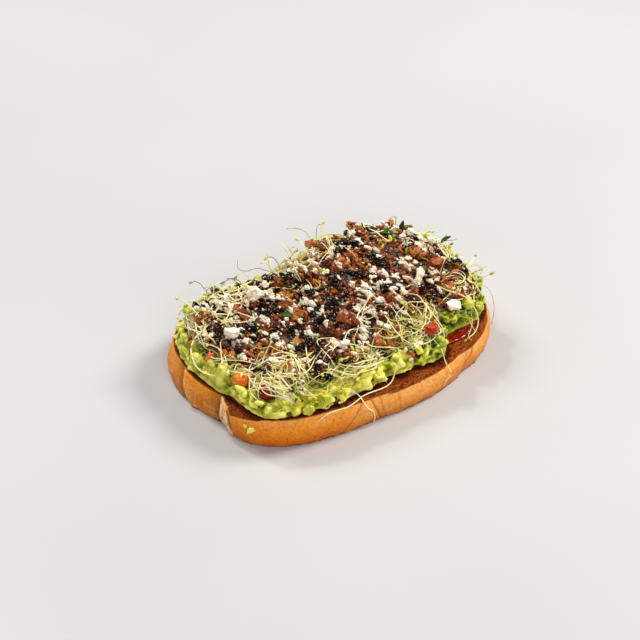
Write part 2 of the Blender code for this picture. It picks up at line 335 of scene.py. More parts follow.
slab = {
    "voxel": 0.58 * mm,
    "thickness": 16 * mm,
    "creases": (20, 76, 122, 167.5, 188.8, 258.5),  # where lobes of the loaf meet, degrees
    "creaseLean": 5,  # how far round a crease runs from the base to the rim, degrees
    # creases that lie further round: which, how far at the base and at the rim, half width, degrees
    "creaseShifts": ((167.5, 7, 4.5, 12), (188.8, 2.2, 3.8, 10)),
    "creaseWidth": 0.5 * mm,
    "creaseDepth": 0.9 * mm,
    "shallowPast": 200,  # creases past this direction are shallower, degrees
    # parts of the crust: direction, and the angles within which each is whole and beyond which it ends
    "nearSide": (285, 30, 55),
    "scorchedSide": (298, 28, 40),
    "leftEnd": (172, 18, 32),
    # thin cracks in the crust: angle at the base, angle at the rim, depth
    "cracks": ((237.5, 249, 0.5 * mm), (258.5, 251.5, 0.6 * mm), (269.5, 266.2, 0.2 * mm),
               (308.5, 317.5, 0.7 * mm)),
    "crackWidth": 0.3 * mm,
    "swell": (0.45 * mm, 9 * mm),  # height and spacing of the crust's unevenness
    "wrinkle": (0.12 * mm, 1.8 * mm),
    "rimWidth": 1.9 * mm,  # how far in the crust shows round the toasted face
    "scorchedFrom": 13.3 * mm,  # height above which the rim of the near side is toasted brown
    "pores": (0.5 * mm, 1.9 * mm),  # depth and spacing of the crumb's holes
    # the torn edge of the flap of crust over one crease: heights in mm and angles in degrees
    "tornHeights": (0, 6.8, 12.4, 13.6, 13.8, 14.4, 14.8),
    "tornAngles": (198.4, 197.4, 196, 194.6, 198.5, 202.5, 207),
    # and how far down the toasted face shows past it: angles in degrees, heights in mm
    "notchAngles": (196.6, 197.4, 200, 203.6, 208, 212),
    "notchHeights": (15.5, 12.4, 13.3, 14.1, 14.7, 15.8),
    "flapThickness": 0.7 * mm,
    "lapping": (1.2 * mm, -1.7 * mm),  # how far a lobe stands out, and the one behind it lies back
    "flakes": 1.8 * mm,  # height of the ragged edge at the base
    "raggedness": 0.75 * mm,  # how far it is pushed in and out
    # the outermost lobe bulges at its base: direction, half widths in degrees, how far
    "spreadLobe": (161, 6, 13, 2.1 * mm),
}


def outlineRadius(node):
    # the node's outline, seen from above: its largest radius in each direction
    points = pointsOf(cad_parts[node])
    edges = np.array([edge.vertices[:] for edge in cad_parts[node].data.edges])
    along = np.linspace(0, 1, 9)[:, None, None]
    points = ((1 - along) * points[edges[:, 0]] + along * points[edges[:, 1]]).reshape(-1, 3)
    angles, radii = polar(points)
    sectors = np.clip(((angles + pi) / tau * 180).astype(int), 0, 179)
    widest = np.zeros(180)
    np.maximum.at(widest, sectors, radii)
    order = np.linspace(-pi, pi, 181)
    middles = (order[:-1] + order[1:]) / 2
    return lambda angle: np.interp(angle, middles, widest, period=tau)


def insetIn(node, x, y):
    # how far a place lies inside a node's outline
    return outlines[node](np.arctan2(y, x)) - np.hypot(x, y)


def placeIn(draw, node, inset, crumbInset):
    # a random place this far inside a node's outline and inside the crumbs, in mm
    while True:
        x = draw.uniform(cadBox[0].x, cadBox[1].x)
        y = draw.uniform(cadBox[0].y, cadBox[1].y)
        if (inset[0] * mm < insetIn(node, x, y) < inset[1] * mm
                and crumbInset[0] * mm < insetIn("crumb_topping", x, y) < crumbInset[1] * mm):
            return x, y


def shiftCreases(points):
    # turns the crust round the middle where a crease lies further round than the core's
    angles, radii = polar(points)
    height = points[:, 2] / slab["thickness"]
    lean = slab["creaseLean"] * (0.5 - height)
    turn = 0.0
    for place, atBase, atRim, halfWidth in slab["creaseShifts"]:
        turn = turn + np.radians(atBase + (atRim - atBase) * height) * hump(angles, place + lean, halfWidth)
    angles = angles + turn
    return np.column_stack((radii * np.cos(angles), radii * np.sin(angles), points[:, 2]))


def toastedFace(points, normals, nearSide, wobble):
    # 1 where the toasted crumb shows, 0 on the crust
    angles, radii = polar(points)
    inset = outlines["bread_slice"](angles) - radii + wobble
    rim = slab["rimWidth"] * (1 - 0.6 * nearSide)
    onFace = ease(inset, rim - 0.4 * mm, rim + 0.6 * mm) * ease(normals[:, 2] + 0.35 * nearSide, 0.6, 0.85)
    # on the near side the face is scorched right over the rim
    top = slab["scorchedFrom"]
    overRim = ease(points[:, 2] + 0.5 * wobble, top - 0.3 * mm, top + 0.3 * mm)
    onFace = np.maximum(onFace, overRim * near(angles, *slab["scorchedSide"]))
    # and it shows where the flap of crust is torn off
    around = np.degrees(angles) % 360
    tearTop = np.interp(around, slab["notchAngles"], slab["notchHeights"], left=20, right=20) * mm
    return np.maximum(onFace, ease(points[:, 2] - tearTop + 0.4 * wobble, -0.25 * mm, 0.25 * mm))


def buildSlice():
    piece = cadCopy("bread_slice", "toastedSlice")
    remesh(piece, slab["voxel"])
    plainUnderside(piece, 0)
    points = pointsOf(piece)
    normals = pointsOf(piece, "normal")
    angles, radii = polar(points)
    height = points[:, 2] / slab["thickness"]
    wobble = 0.8 * mm * noiseAt(points, 5 * mm, 21) + 0.4 * mm * noiseAt(points, 1.5 * mm, 22)
    nearSide = near(angles, *slab["nearSide"])
    onFace = toastedFace(points, normals, nearSide, wobble)
    onBase = ease(-normals[:, 2], 0.6, 0.9)
    onSide = (1 - onFace) * (1 - onBase)

    # lobes meet in creases, and thin cracks run across them: direction, width, depth, and darkness of the
    # painted shade in each
    lean = slab["creaseLean"] * (0.5 - height)
    cuts = []
    for place in slab["creases"]:
        deep, dark = (0.4, 0.25) if place > slab["shallowPast"] else (1, 0.9)
        cuts.append((place + lean, slab["creaseWidth"], deep * slab["creaseDepth"], dark))
    for base, rim, depth in slab["cracks"]:
        cuts.append((base + (rim - base) * height, slab["crackWidth"], depth, 1.2 * depth / mm))
    crease = np.zeros(len(points))
    cut = np.zeros(len(points))
    wander = 0.008 * noiseAt(points, 4 * mm, 31)
    for direction, width, depth, dark in cuts:
        off = np.abs(angleFrom(angles + wander, direction)) * radii
        crease = np.maximum(crease, dark * ridge(off, 1.3 * width))
        cut += depth * ridge(off, width)

    # a flap of paler crust laps over the third lobe and is torn off short
    tornAt = np.interp(points[:, 2] / mm, slab["tornHeights"], slab["tornAngles"])
    pastTear = angleFrom(angles + wander, tornAt) * radii
    pastStart = angleFrom(angles, slab["creases"][4] + lean)
    flap = ease(-pastTear, -0.3 * mm, 0.3 * mm) * ease(pastStart * radii, 0, 0.8 * mm)
    # painted shadow: a dark line just past the torn edge, where the flap stands over the lobe
    nearTear = ridge(pastTear - 0.6 * mm, 0.7 * mm) * (pastStart > 0)
    nearTear *= ease(noiseAt(points, 3 * mm, 61) + height, 0.1, 0.4)
    crease = np.maximum(crease, 0.9 * nearTear)
    cut += 0.4 * mm * nearTear

    # the lobes of the left end lap like shingles: each stands out over the one behind, with a painted
    # highlight along its edge and painted shade on the one behind
    lit = np.zeros(len(points))
    for place in slab["creases"][3:5]:
        past = angleFrom(angles, place + lean)
        ahead = slab["lapping"][0] * np.exp(-np.maximum(past, 0) / radians(5))
        behind = slab["lapping"][1] * np.exp(np.minimum(past, 0) / radians(3))
        step = behind + (ahead - behind) * ease(past * radii, -0.3 * mm, 0.4 * mm)
        cut -= np.where(np.abs(past) < radians(30), step, 0)
        shaded = np.exp(-np.maximum(-past * radii - 4 * mm, 0) / (2.5 * mm))
        crease = np.maximum(crease, 0.5 * shaded * (past < 0) * (past > -radians(20)))
        edge = np.exp(-np.maximum(past * radii - 1 * mm, 0) / (1.2 * mm))
        lit = np.maximum(lit, edge * (past > 0) * (past < radians(20)))

    swell, swellSize = slab["swell"]
    wrinkle, wrinkleSize = slab["wrinkle"]
    push = swell * noiseAt(points, swellSize, 3) + wrinkle * noiseAt(points, wrinkleSize, 5)
    push += (flap * slab["flapThickness"] - cut) * onSide
    direction, inner, outer, bulge = slab["spreadLobe"]
    push += bulge * near(angles, direction, inner, outer) * (1 - ease(height, 0, 0.9)) * (1 - onFace)
    ragged = (1 - ease(points[:, 2], 0.3 * mm, slab["flakes"])) * (1 - onBase)
    push += ragged * slab["raggedness"] * noiseAt(points, 1.3 * mm, 9)

    # the toasted crumb is full of holes
    poreDepth, poreSize = slab["pores"]
    nearest = cellsAt(points, poreSize, 2)[0]
    fine = cellsAt(points, poreSize * 0.45, 7)[0]
    pores = ease(0.45 - nearest, 0, 0.3) + 0.5 * ease(0.4 - fine, 0, 0.3)
    push -= onFace * poreDepth * pores
    push *= 1 - onBase
    moved = shiftCreases(points + normals * push[:, None])
    moved[:, 2] = np.maximum(moved[:, 2], 0)
    movePoints(piece, moved)
    # the left end of the loaf is paler towards its rim, and so is the flap
    leftEnd = near(angles, *slab["leftEnd"])
    pale = leftEnd * ease(height + 0.15 * noiseAt(points, 6 * mm, 41), 0.35, 0.95)
    # the flap's pale torn crust, plus a painted highlight along the edge of each lapping lobe
    torn = np.maximum(flap, 0.6 * lit)
    torn = torn * ease(0.9 + noiseAt(points, 2.2 * mm, 63) - 0.3 * height, 0.3, 0.8)
    # painted shadow on the toasted face close beside the mash
    besideMash = -insetIn("avocado_mash", moved[:, 0], moved[:, 1]) + 0.8 * mm * noiseAt(points, 3 * mm, 65)
    paint(piece, face=onFace, crease=crease * onSide, pores=pores, pale=pale, torn=torn, nearSide=nearSide,
          browned=leftEnd, oiled=onFace * ease(besideMash, 3.2 * mm, 0.6 * mm))
    return finishPiece(piece, toastMaterial(), "toasted_bread", "bread_slice")


def toastMaterial():
    # egg-washed baked crust, satin, and a dry toasted crumb: warm orange side, brown grainy face
    material, tree, shader = newMaterial(
        "egg-washed crust and toasted crumb", IOR=1.4, Specular_IOR_Level=0.12)
    coords = addNode(tree, "TexCoord", out="Object")
    face, crease, pores, pale, torn, browned, nearSide, oiled = (
        addNode(tree, "Attribute", out="Fac", attribute_name=name)
        for name in ("face", "crease", "pores", "pale", "torn", "browned", "nearSide", "oiled"))
    # noises: size in mm, detail and roughness
    mottle, patches, flecks, dimples, grain = (
        addNode(tree, "TexNoise", {
            "Vector": coords, "Scale": 1 / (size * mm), "Detail": detail, "Roughness": roughness})
        for size, detail, roughness in (
            (10 / 1.1, 6, 0.7), (10 / 2.6, 6, 0.75), (10 / 11, 2, 0.5), (1.25, 4, 0.7), (10 / 12, 3, 0.7)))
    speckle = addNode(tree, "TexVoronoi", {"Vector": coords, "Scale": 1 / (10 / 4.2 * mm)})
    z = addNode(tree, "SeparateXYZ", {"Vector": coords}, out="Z")
    level = addNode(tree, "MapRange", {
        "Value": z, "From Min": 0.0, "From Max": slab["thickness"], "To Min": -0.54, "To Max": 0.4})
    shifted = addNode(tree, "Math", {0: mottle, 1: 1.25, 2: level}, operation="MULTIPLY_ADD")
    patchMask = addNode(tree, "ValToRGB", {"Fac": patches}, ((0.44, 0.0), (0.62, 0.75)))
    endShare = addNode(tree, "MapRange", {"Value": browned, "To Min": 0.1})
    inPatches, towardsNear, whereTornOrLit = (
        addNode(tree, "Math", {0: first, 1: second}, operation="MULTIPLY")
        for first, second in ((endShare, patchMask), (nearSide, shifted), (torn, 0.95)))
    dots = addNode(tree, "ValToRGB", {"Fac": speckle}, ((0.05, 0.55), (0.2, 1.0)))
    fleckMask = addNode(tree, "ValToRGB", {"Fac": flecks}, ((0.64, 0.0), (0.72, 0.4)))
    dimpleTone = addNode(tree, "ValToRGB", {"Fac": dimples}, ((0.34, "#C89868"), (0.5, 1.0), (0.7, 1.0)))
    baseContactShade = addNode(tree, "MapRange", {
        "Value": z, "From Min": 0.2 * mm, "From Max": 1.5 * mm, "To Min": 0.9, "To Max": 0.0})
    crust = addNode(tree, "ValToRGB", {"Fac": shifted}, (
        (0.02, "#A44A04"), (0.16, "#CE6808"), (0.5, "#E48012"), (0.8, "#EE9430"), (1.0, "#F0A650")))
    for mask, tint, blend in (
            (browned, "#DC7A00", "MIX"),  # one end of the loaf is browner
            (inPatches, "#E4B078", "MIX"),  # with tan patches where it browned less
            (towardsNear, "#F4B060", "MIX"),  # lighter high on the near side
            (pale, "#F29A2A", "MIX"),
            (whereTornOrLit, "#FFDEB4", "MIX"),  # almost white where the crust is torn, and a painted highlight along each lapping lobe's edge
            (0.3, dots, "MULTIPLY"),  # small dark specks
            (fleckMask, "#F2C07A", "MIX"),  # tiny pale flecks of flour and dried egg wash
            (0.55, dimpleTone, "MULTIPLY"),  # the grain of the baked skin, darker in its dimples
            (baseContactShade, "#7E3406", "MIX"),  # painted contact shadow: dark in a thin line along the base, where it stands on the floor
            (crease, "#6E300A", "MIX")):  # painted shade: dark in creases and cracks, behind each lapping lobe and along the torn flap's edge
        crust = addNode(tree, "Mix", {0: mask, 6: crust, 7: tint}, blend_type=blend, **colourMix)

    colour = addNode(tree, "ValToRGB", {"Fac": grain}, (
        (0.3, "#5A2006"), (0.5, "#86390D"), (0.72, "#C0702A")))
    border = addNode(tree, "ValToRGB", {"Fac": face}, ((0.1, 0.0), (0.55, 0.85), (1.0, 0.0)))
    offFace = addNode(tree, "Math", {0: 1.0, 1: face}, operation="SUBTRACT")
    for mask, tint, blend in (
            # painted shade: dark in the crumb's holes
            (pores, "#3A1404", "MIX"),
            (oiled, "#A07A66", "MULTIPLY"),  # painted shadow that the mash casts on the toasted face beside it
            (offFace, crust, "MIX"),
            (border, "#5A2006", "MIX")):  # a darker line where the toasted face meets the crust
        colour = addNode(tree, "Mix", {0: mask, 6: colour, 7: tint}, blend_type=blend, **colourMix)
    setInputs(tree, shader, {
        "Base Color": colour,
        "Roughness": addNode(tree, "MapRange", {"Value": face, "To Min": 0.45, "To Max": 0.8}),
        "Normal": addNode(tree, "Bump", {"Height": dimples, "Strength": 0.75, "Distance": 0.8 * mm})})
    return material


# the tomato spread under the mash

spread = {
    "voxel": 0.7 * mm,
    "unevenness": (0.35 * mm, 3 * mm),
    "drawnIn": (279, 34, 4.5 * mm),  # where the mash covers it whole: direction, half width, depth
}


def buildSpread():
    piece = cadCopy("tomato_spread", "tomatoSpread")
    remesh(piece, spread["voxel"])
    plainUnderside(piece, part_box("tomato_spread")[0].z)
    points = pointsOf(piece)
    angles, radii = polar(points)
    direction, halfWidth, depth = spread["drawnIn"]
    drawnIn = depth * near(angles, direction, 0.8 * halfWidth, 1.2 * halfWidth) / radii.clip(20 * mm)
    points[:, :2] *= (1 - drawnIn)[:, None]
    normals = pointsOf(piece, "normal")
    height, size = spread["unevenness"]
    push = height * noiseAt(points, size, 4) + 0.5 * height * noiseAt(points, size / 3, 8)
    push *= ease(normals[:, 2], -0.9, 0)
    movePoints(piece, shiftCreases(points + normals * push[:, None]))
    return finishPiece(piece, spreadMaterial(), "tomato_spread", "tomato_spread")


def spreadMaterial():
    # cooked tomato, wet: deep red with darker seeds of skin, and a strong gloss
    return mottledMaterial(
        "wet cooked tomato", (10 / 4.2, 4, 0.5, 1), {},
        ((0.35, "#5E0C04"), (0.55, "#8F1D0A"), (0.72, "#B53C16")), (0.4, 0.6),
        Roughness=0.16, IOR=1.4, Coat_Weight=0.5, Coat_Roughness=0.08)


# the avocado mash

mash = {
    "voxel": 0.56 * mm,
    "sink": 2.6 * mm,  # how far the body is drawn in, to leave room for the bits
    "bits": 560,
    "bitSize": (1.4 * mm, 5.2 * mm),  # radius
    "sideBits": 230,
    "sideBitSize": (1.4 * mm, 3.8 * mm),
    # where its edge lies further in: direction and half width in degrees, depth
    "recesses": ((268, 16, 3.2 * mm), (282, 5, 3.4 * mm), (320, 14, 3.6 * mm), (246, 9, 1.2 * mm)),
    "under": 3 * mm,  # how far the bits go in under the crumbs
    "flankSink": 3.2 * mm,  # how far below the heap's flank they lie
    "relief": ((1.5 * mm, 6.5 * mm), (0.7 * mm, 2.6 * mm), (0.22 * mm, 1.2 * mm)),  # lumps: height and size
    "smear": (176, 15, 5 * mm),  # where the mash is smeared smooth: direction, half width in degrees, inset
    "creamy": (231, 12, 24),  # where its lumps are softer: direction and half widths in degrees
    # parts of it: direction, and the angles within which each is whole and beyond which it ends
    "rightEnd": (-28, 30, 60),
    "yellowFront": (262, 20, 36),
    "shaded": (326, 28, 50),
    "rightDarker": 0.42,  # how much greener the bits are at the right end
    "frontPaler": 0.5,  # and how much yellower in front
    # larger soft lumps on the near side: place and size in mm, tone
    "lumps": (((-18.5, -46.6, 20), (11, 6, 6.5), 0.95), ((-9, -46.4, 20.6), (10, 6, 6.5), 0.95),
              ((0.5, -45.4, 22.6), (10, 6, 6), 0.9), ((-55, -39, 22), (9, 6, 6), 0.45)),
    "seed": 11,
}


def surfaceBelow(trees, x, y):
    # height of the highest surface at this place, or None
    best = None
    for tree in trees:
        hit = tree.ray_cast(Vector((x, y, 0.2)), Vector((0, 0, -1)))
        if hit[0] is not None and (best is None or hit[0].z > best):
            best = hit[0].z
    return best


def treeOf(piece):
    corners = [corner.co for corner in piece.data.vertices]
    return BVHTree.FromPolygons(corners, [face.vertices for face in piece.data.polygons])


def joinCopies(name, shapes, copies):
    # one mesh from many copies of a few shapes: (shape number, place, turn as a matrix, size, tone)
    points, faces, tones = [], [], []
    for number, place, turn, size, tone in copies:
        shapePoints, shapeFaces = shapes[number]
        base = len(points)
        placed = (shapePoints * size) @ np.array(turn).T + np.array(place)
        points.extend(placed.tolist())
        faces.extend([tuple(base + corner for corner in face) for face in shapeFaces])
        tones.extend([tone] * len(placed))
    piece = pieceFrom(name, points, faces)
    paint(piece, tone=np.array(tones))
    return piece


def takeShape(piece):
    # its points and faces, to be copied many times; the piece itself goes
    faces = [tuple(face.vertices) for face in piece.data.polygons]
    points = pointsOf(piece)
    bpy.data.objects.remove(piece)
    return points, faces


def ballShape(subdivisions, radius, unevenness):
    # a ball pushed in and out by a function of its points, as points and faces
    bpy.ops.mesh.primitive_ico_sphere_add(subdivisions=subdivisions, radius=radius)
    ball = bpy.context.object
    points = pointsOf(ball)
    movePoints(ball, points * (1 + unevenness(points))[:, None])
    return takeShape(ball)


def roughShape(seed):
    # a coarse grain
    return ballShape(1, 0.5, lambda points: 0.3 * noiseAt(points, 0.33, seed))


def seedShape(seed):
    # a small seed under glaze, a little uneven
    return ballShape(2, 0.5, lambda points: 0.5 * noiseAt(points, 0.4, seed))


def grainyShape(seed):
    # a clump of grains that have caramelised together
    return ballShape(3, 0.42, lambda points: (
        0.35 * noiseAt(points, 0.4, seed) + 0.5 * (0.5 - cellsAt(points, 0.3, seed)[0])))


def brokenShape(draw, subdivisions, cuts, roughness):
    # a lump with flat broken sides: the hull of a very uneven ball, cut finer and roughened
    bpy.ops.mesh.primitive_ico_sphere_add(subdivisions=subdivisions, radius=0.5)
    lump = bpy.context.object
    points = pointsOf(lump)
    movePoints(lump, points * draw.uniform(0.45, 1.15, (len(points), 1)))
    bpy.ops.object.mode_set(mode="EDIT")
    bpy.ops.mesh.select_all(action="SELECT")
    bpy.ops.mesh.convex_hull(join_triangles=False)
    if cuts:
        bpy.ops.mesh.select_all(action="SELECT")
        bpy.ops.mesh.subdivide(number_cuts=cuts)
    bpy.ops.object.mode_set(mode="OBJECT")
    points = pointsOf(lump)
    points += pointsOf(lump, "normal") * (roughness * noiseAt(points, 0.22, draw.uniform(0, 50)))[:, None]
    movePoints(lump, points)
    return takeShape(lump)


def recessAt(angles):
    # how much further in the mash's edge lies in these directions
    return sum(depth * hump(angles, direction, halfWidth) for direction, halfWidth, depth in mash["recesses"])


def topBit(draw, surface, flank, bottom):
    # one bit on top of the mash, or None where nothing is below it
    x, y = placeIn(draw, "avocado_mash", (0, 60), (-60, mash["under"] / mm))
    inset = insetIn("avocado_mash", x, y)
    low, high = mash["bitSize"]
    radius = low + (high - low) * draw.uniform() ** 2.2
    # near the edge it moves in until it fits
    shift = max(0, 0.75 * radius - inset) / hypot(x, y)
    x, y = x * (1 - shift), y * (1 - shift)
    top = surfaceBelow([surface], x, y)
    if top is None:
        return None
    heap = surfaceBelow([flank], x, y)
    if heap is not None:
        top = max(top, heap - mash["flankSink"])
    z = max(bottom + 0.6 * radius, top - draw.uniform(0.75, 1.25) * radius)
    size = 2 * radius * draw.uniform((0.7, 0.6, 0.4), (1.7, 1.3, 0.9))
    lie = Euler((draw.normal(0, 0.5), draw.normal(0, 0.5), draw.uniform(0, tau))).to_matrix()
    tone = 0.35 + draw.uniform(-0.2, 0.2)
    tone -= mash["rightDarker"] * near(atan2(y, x), *mash["rightEnd"])
    tone += mash["frontPaler"] * near(atan2(y, x), *mash["yellowFront"])
    return int(draw.integers(6)), (x, y, z), lie, size, tone


def sideBit(draw, surface, bottom):
    # one bit in the side of the mash
    low, high = mash["sideBitSize"]
    radius = low + (high - low) * draw.uniform() ** 1.5
    angle = draw.uniform(-pi, pi)
    reach = outlines["avocado_mash"](angle) - draw.uniform(0.5, 1.3) * radius
    further = reach - 3 * mm
    top = surfaceBelow([surface], further * cos(angle), further * sin(angle)) or bottom
    z = draw.uniform(bottom + 0.5 * radius, max(top, bottom + radius))
    lie = Euler((draw.normal(0, 0.5), draw.normal(0, 0.5), angle + draw.normal(0, 0.5))).to_matrix()
    size = 2 * radius * draw.uniform((0.6, 0.8, 0.5), (1.1, 1.8, 1.0))
    place = reach * cos(angle), reach * sin(angle), z
    return int(draw.integers(6)), place, lie, size, draw.uniform(0.15, 0.55)


def buildMash():
    draw = np.random.default_rng(mash["seed"])
    body = cadCopy("avocado_mash", "avocadoMash")
    surface = treeOf(body)
    flank = treeOf(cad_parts["sprout_heap"])
    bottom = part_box("avocado_mash")[0].z
    # the body is drawn in, and bits are laid over it
    normals = pointsOf(body, "normal")
    sinking = ease(normals[:, 2], -0.4, 0.4) * mash["sink"]
    points = pointsOf(body) - normals * sinking[:, None]
    angles, radii = polar(points)
    inset = outlines["avocado_mash"](angles) + recessAt(angles) - radii
    points[:, :2] *= (1 - recessAt(angles) / radii * (1 - ease(inset, 0, 14 * mm)))[:, None]
    movePoints(body, points)
    copies = []
    while len(copies) < mash["bits"]:
        bit = topBit(draw, surface, flank, bottom)
        if bit:
            copies.append(bit)
    for _ in range(mash["sideBits"]):
        copies.append(sideBit(draw, surface, bottom))
    for place, size, tone in mash["lumps"]:
        lie = Euler((draw.normal(0, 0.15), draw.normal(0, 0.15), draw.normal(0, 0.3))).to_matrix()
        copies.append((int(draw.integers(6)), np.array(place) * mm, lie, np.array(size) * mm * 1.2, tone))
    bits = joinCopies("mashBits", [brokenShape(draw, 1, 2, 0.1) for _ in range(6)], copies)
    selectOnly(body)
    bits.select_set(True)
    bpy.ops.object.join()
    body.data.attributes.remove(body.data.attributes["tone"])
    remesh(body, mash["voxel"])
    plainUnderside(body, bottom)
    points = pointsOf(body)
    normals = pointsOf(body, "normal")
    angles = polar(points)[0]
    inset = insetIn("avocado_mash", points[:, 0], points[:, 1])
    smearAngle, smearWidth, smearInset = mash["smear"]
    smear = near(angles, smearAngle, 0.6 * smearWidth, 1.5 * smearWidth)
    smear *= 1 - ease(inset + 1.5 * mm * noiseAt(points, 5 * mm, 51), 0.7 * smearInset, 1.3 * smearInset)
    # rounded lumps with creases between them, pulled about by the fork
    pulled = points + 2.5 * mm * np.stack([noiseAt(points, 7 * mm, seed) for seed in (71, 72, 73)], 1)
    push = np.zeros(len(points))
    for number, (lumpHeight, lumpSize) in enumerate(mash["relief"]):
        lumps = noiseAt(pulled, lumpSize, 5 + number)
        push += lumpHeight * (2.4 * np.abs(lumps) - 0.6 if number == 0 else lumps)
    creamy = near(angles, *mash["creamy"])
    push *= 1 - 0.25 * smear - 0.45 * creamy
    push *= ease(normals[:, 2], -0.8, 0)
    movePoints(body, points + normals * push[:, None])
    # each point takes the tone of the bit that lies nearest
    nearestBit = KDTree(len(copies))
    for number, copy in enumerate(copies):
        nearestBit.insert(copy[1], number)
    nearestBit.balance()
    tone = np.array([copies[nearestBit.find(point)[1]][4] for point in points])
    shade = near(angles, *mash["shaded"])
    # standOut carries painted shade and light: darker in the hollows, lighter on the ridges, stronger on the
    # near right side and softer where the mash is creamy
    raised = 0.6 * standOut(body, 16, 1.6 * mm) + 0.4 * standOut(body, 90, 4.5 * mm)
    raised = 0.5 + (raised - 0.5) * (1 + 0.7 * shade - 0.4 * creamy) - 0.08 * shade
    paint(body, tone=tone, smear=smear, shade=shade, standOut=raised)
    return finishPiece(body, mashMaterial(), "avocado", "avocado_mash")


def mashMaterial():
    # crushed ripe avocado: buttery yellow-green flesh, moist, with painted shade and light: darker green in
    # its hollows, lighter on its ridges
    material, tree, shader = newMaterial(
        "crushed ripe avocado", IOR=1.4, Subsurface_Weight=0.06, Subsurface_Scale=0.001,
        Subsurface_Radius=(1.0, 0.8, 0.2), Coat_Weight=0.3, Coat_Roughness=0.14, Specular_IOR_Level=0.4)
    coords = addNode(tree, "TexCoord", out="Object")
    tone, smear, raised, shade = (
        addNode(tree, "Attribute", out="Fac", attribute_name=name)
        for name in ("tone", "smear", "standOut", "shade"))
    patches = addNode(tree, "TexNoise", {
        "Vector": coords, "Scale": 1 / (10 / 1.5 * mm), "Detail": 6, "Roughness": 0.6})
    fine = addNode(tree, "TexNoise", {"Vector": coords, "Scale": 1 / (10 / 9 * mm), "Detail": 3})
    mixed = addNode(tree, "Math", {0: tone, 1: 0.6, 2: patches}, operation="MULTIPLY_ADD")
    hollowShaded = addNode(tree, "Math", {0: raised, 1: 0.95, 2: mixed}, operation="MULTIPLY_ADD")
    halved = addNode(tree, "Math", {0: hollowShaded, 1: 0.5}, operation="MULTIPLY")
    smeared = addNode(tree, "Math", {0: smear, 1: 0.35}, operation="MULTIPLY")
    colour = addNode(tree, "ValToRGB", {"Fac": halved}, (
        (0.34, "#34400A"), (0.45, "#6E7C10"), (0.56, "#A4A61C"), (0.68, "#C6C236"), (0.85, "#E6E070")))
    for mask, tint, blend in (
            (smeared, "#A09E3C", "MIX"),
            (shade, "#D6E29A", "MULTIPLY")):  # greener and darker on the near right side
        colour = addNode(tree, "Mix", {0: mask, 6: colour, 7: tint}, blend_type=blend, **colourMix)
    setInputs(tree, shader, {
        "Base Color": colour,
        "Roughness": addNode(tree, "MapRange", {"Value": fine, "To Min": 0.28, "To Max": 0.6}),
        "Normal": addNode(tree, "Bump", {"Height": fine, "Strength": 0.5, "Distance": 0.6 * mm})})
    return material


# the heap's core, seen only through the gaps between the sprouts

core = {
    "voxel": 0.53 * mm,
    "sink": (1.7 * mm, 4.4 * mm),  # under the crumbs and outside them
    "relief": ((1.0 * mm, 4 * mm), (0.3 * mm, 1.2 * mm)),  # height and size of its lumps
    "grains": (0.75 * mm, 1.7 * mm),  # height and size of the crumbs packed into it
}


def buildCore():
    piece = cadCopy("sprout_heap", "sproutHeapCore")
    normals = pointsOf(piece, "normal")
    points = pointsOf(piece)
    inset = insetIn("crumb_topping", points[:, 0], points[:, 1])
    crumbSink, edgeSink = core["sink"]
    sinking = edgeSink + (crumbSink - edgeSink) * ease(inset, -5 * mm, 1 * mm)
    points[:, 2] -= ease(normals[:, 2], -0.3, 0.3) * sinking
    movePoints(piece, points)
    remesh(piece, core["voxel"])
    plainUnderside(piece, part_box("sprout_heap")[0].z)
    points = pointsOf(piece)
    normals = pointsOf(piece, "normal")
    inset = insetIn("crumb_topping", points[:, 0], points[:, 1])
    crumbed = ease(inset + 2 * mm * noiseAt(points, 5 * mm, 61), -2 * mm, 2 * mm)
    grainHeight, grainSize = core["grains"]
    cells = [noise.voronoi(Vector(p)) for p in points / grainSize]
    nearest = np.array([found[0][0] for found in cells])
    owner = np.array([found[1][0][:] for found in cells])
    push = sum(height * noiseAt(points, size, 6) for height, size in core["relief"])
    push += crumbed * grainHeight * (0.5 - nearest)
    push *= ease(normals[:, 2], -0.5, 0.2)
    movePoints(piece, points + normals * push[:, None])
    anyNumber = np.sin(owner @ (12.9, 78.2, 37.7)) * 4375.8 % 1  # one for each grain
    paint(piece, crumbed=crumbed, grain=anyNumber, edge=ease(nearest, 0.3, 0.75))
    return finishPiece(piece, coreMaterial(), "sprouts", "sprout_heap")


def coreMaterial():
    # what fills the heap: dark green between the strands, caramelised and glazed grains under the crumbs,
    # with painted shade, almost black, in the gaps between the grains
    material, tree, shader = newMaterial("packed sprouts and crumbs", IOR=1.45)
    coords = addNode(tree, "TexCoord", out="Object")
    crumbed, grain, edge = (
        addNode(tree, "Attribute", out="Fac", attribute_name=name) for name in ("crumbed", "grain", "edge"))
    tangle = addNode(tree, "TexNoise", {
        "Vector": coords, "Scale": 1 / (2 * mm), "Detail": 4, "Roughness": 0.7})
    olive = addNode(tree, "ValToRGB", {"Fac": tangle}, (
        (0.35, "#22280A"), (0.5, "#62681A"), (0.66, "#A39C3A")))
    brown = addNode(tree, "ValToRGB", {"Fac": grain}, (
        (0.15, "#0C0503"), (0.4, "#2C0F05"), (0.65, "#6A2C0E"), (0.95, "#B97434")))
    # painted shade: almost black where the grains meet
    gaps = addNode(tree, "Mix", {0: edge, 6: brown, 7: "#0E0502"}, **colourMix)
    colour = addNode(tree, "Mix", {0: crumbed, 6: olive, 7: gaps}, **colourMix)
    setInputs(tree, shader, {
        "Base Color": colour,
        "Roughness": addNode(tree, "MapRange", {"Value": grain, "To Min": 0.15, "To Max": 0.6}),
        "Normal": addNode(tree, "Bump", {"Height": tangle, "Strength": 0.5, "Distance": 0.8 * mm})})
    return material


# the ground that loose things settle on: heights on a grid, raised by whatever is laid down

ground = {"cell": 0.5 * mm, "margin": 8 * mm}


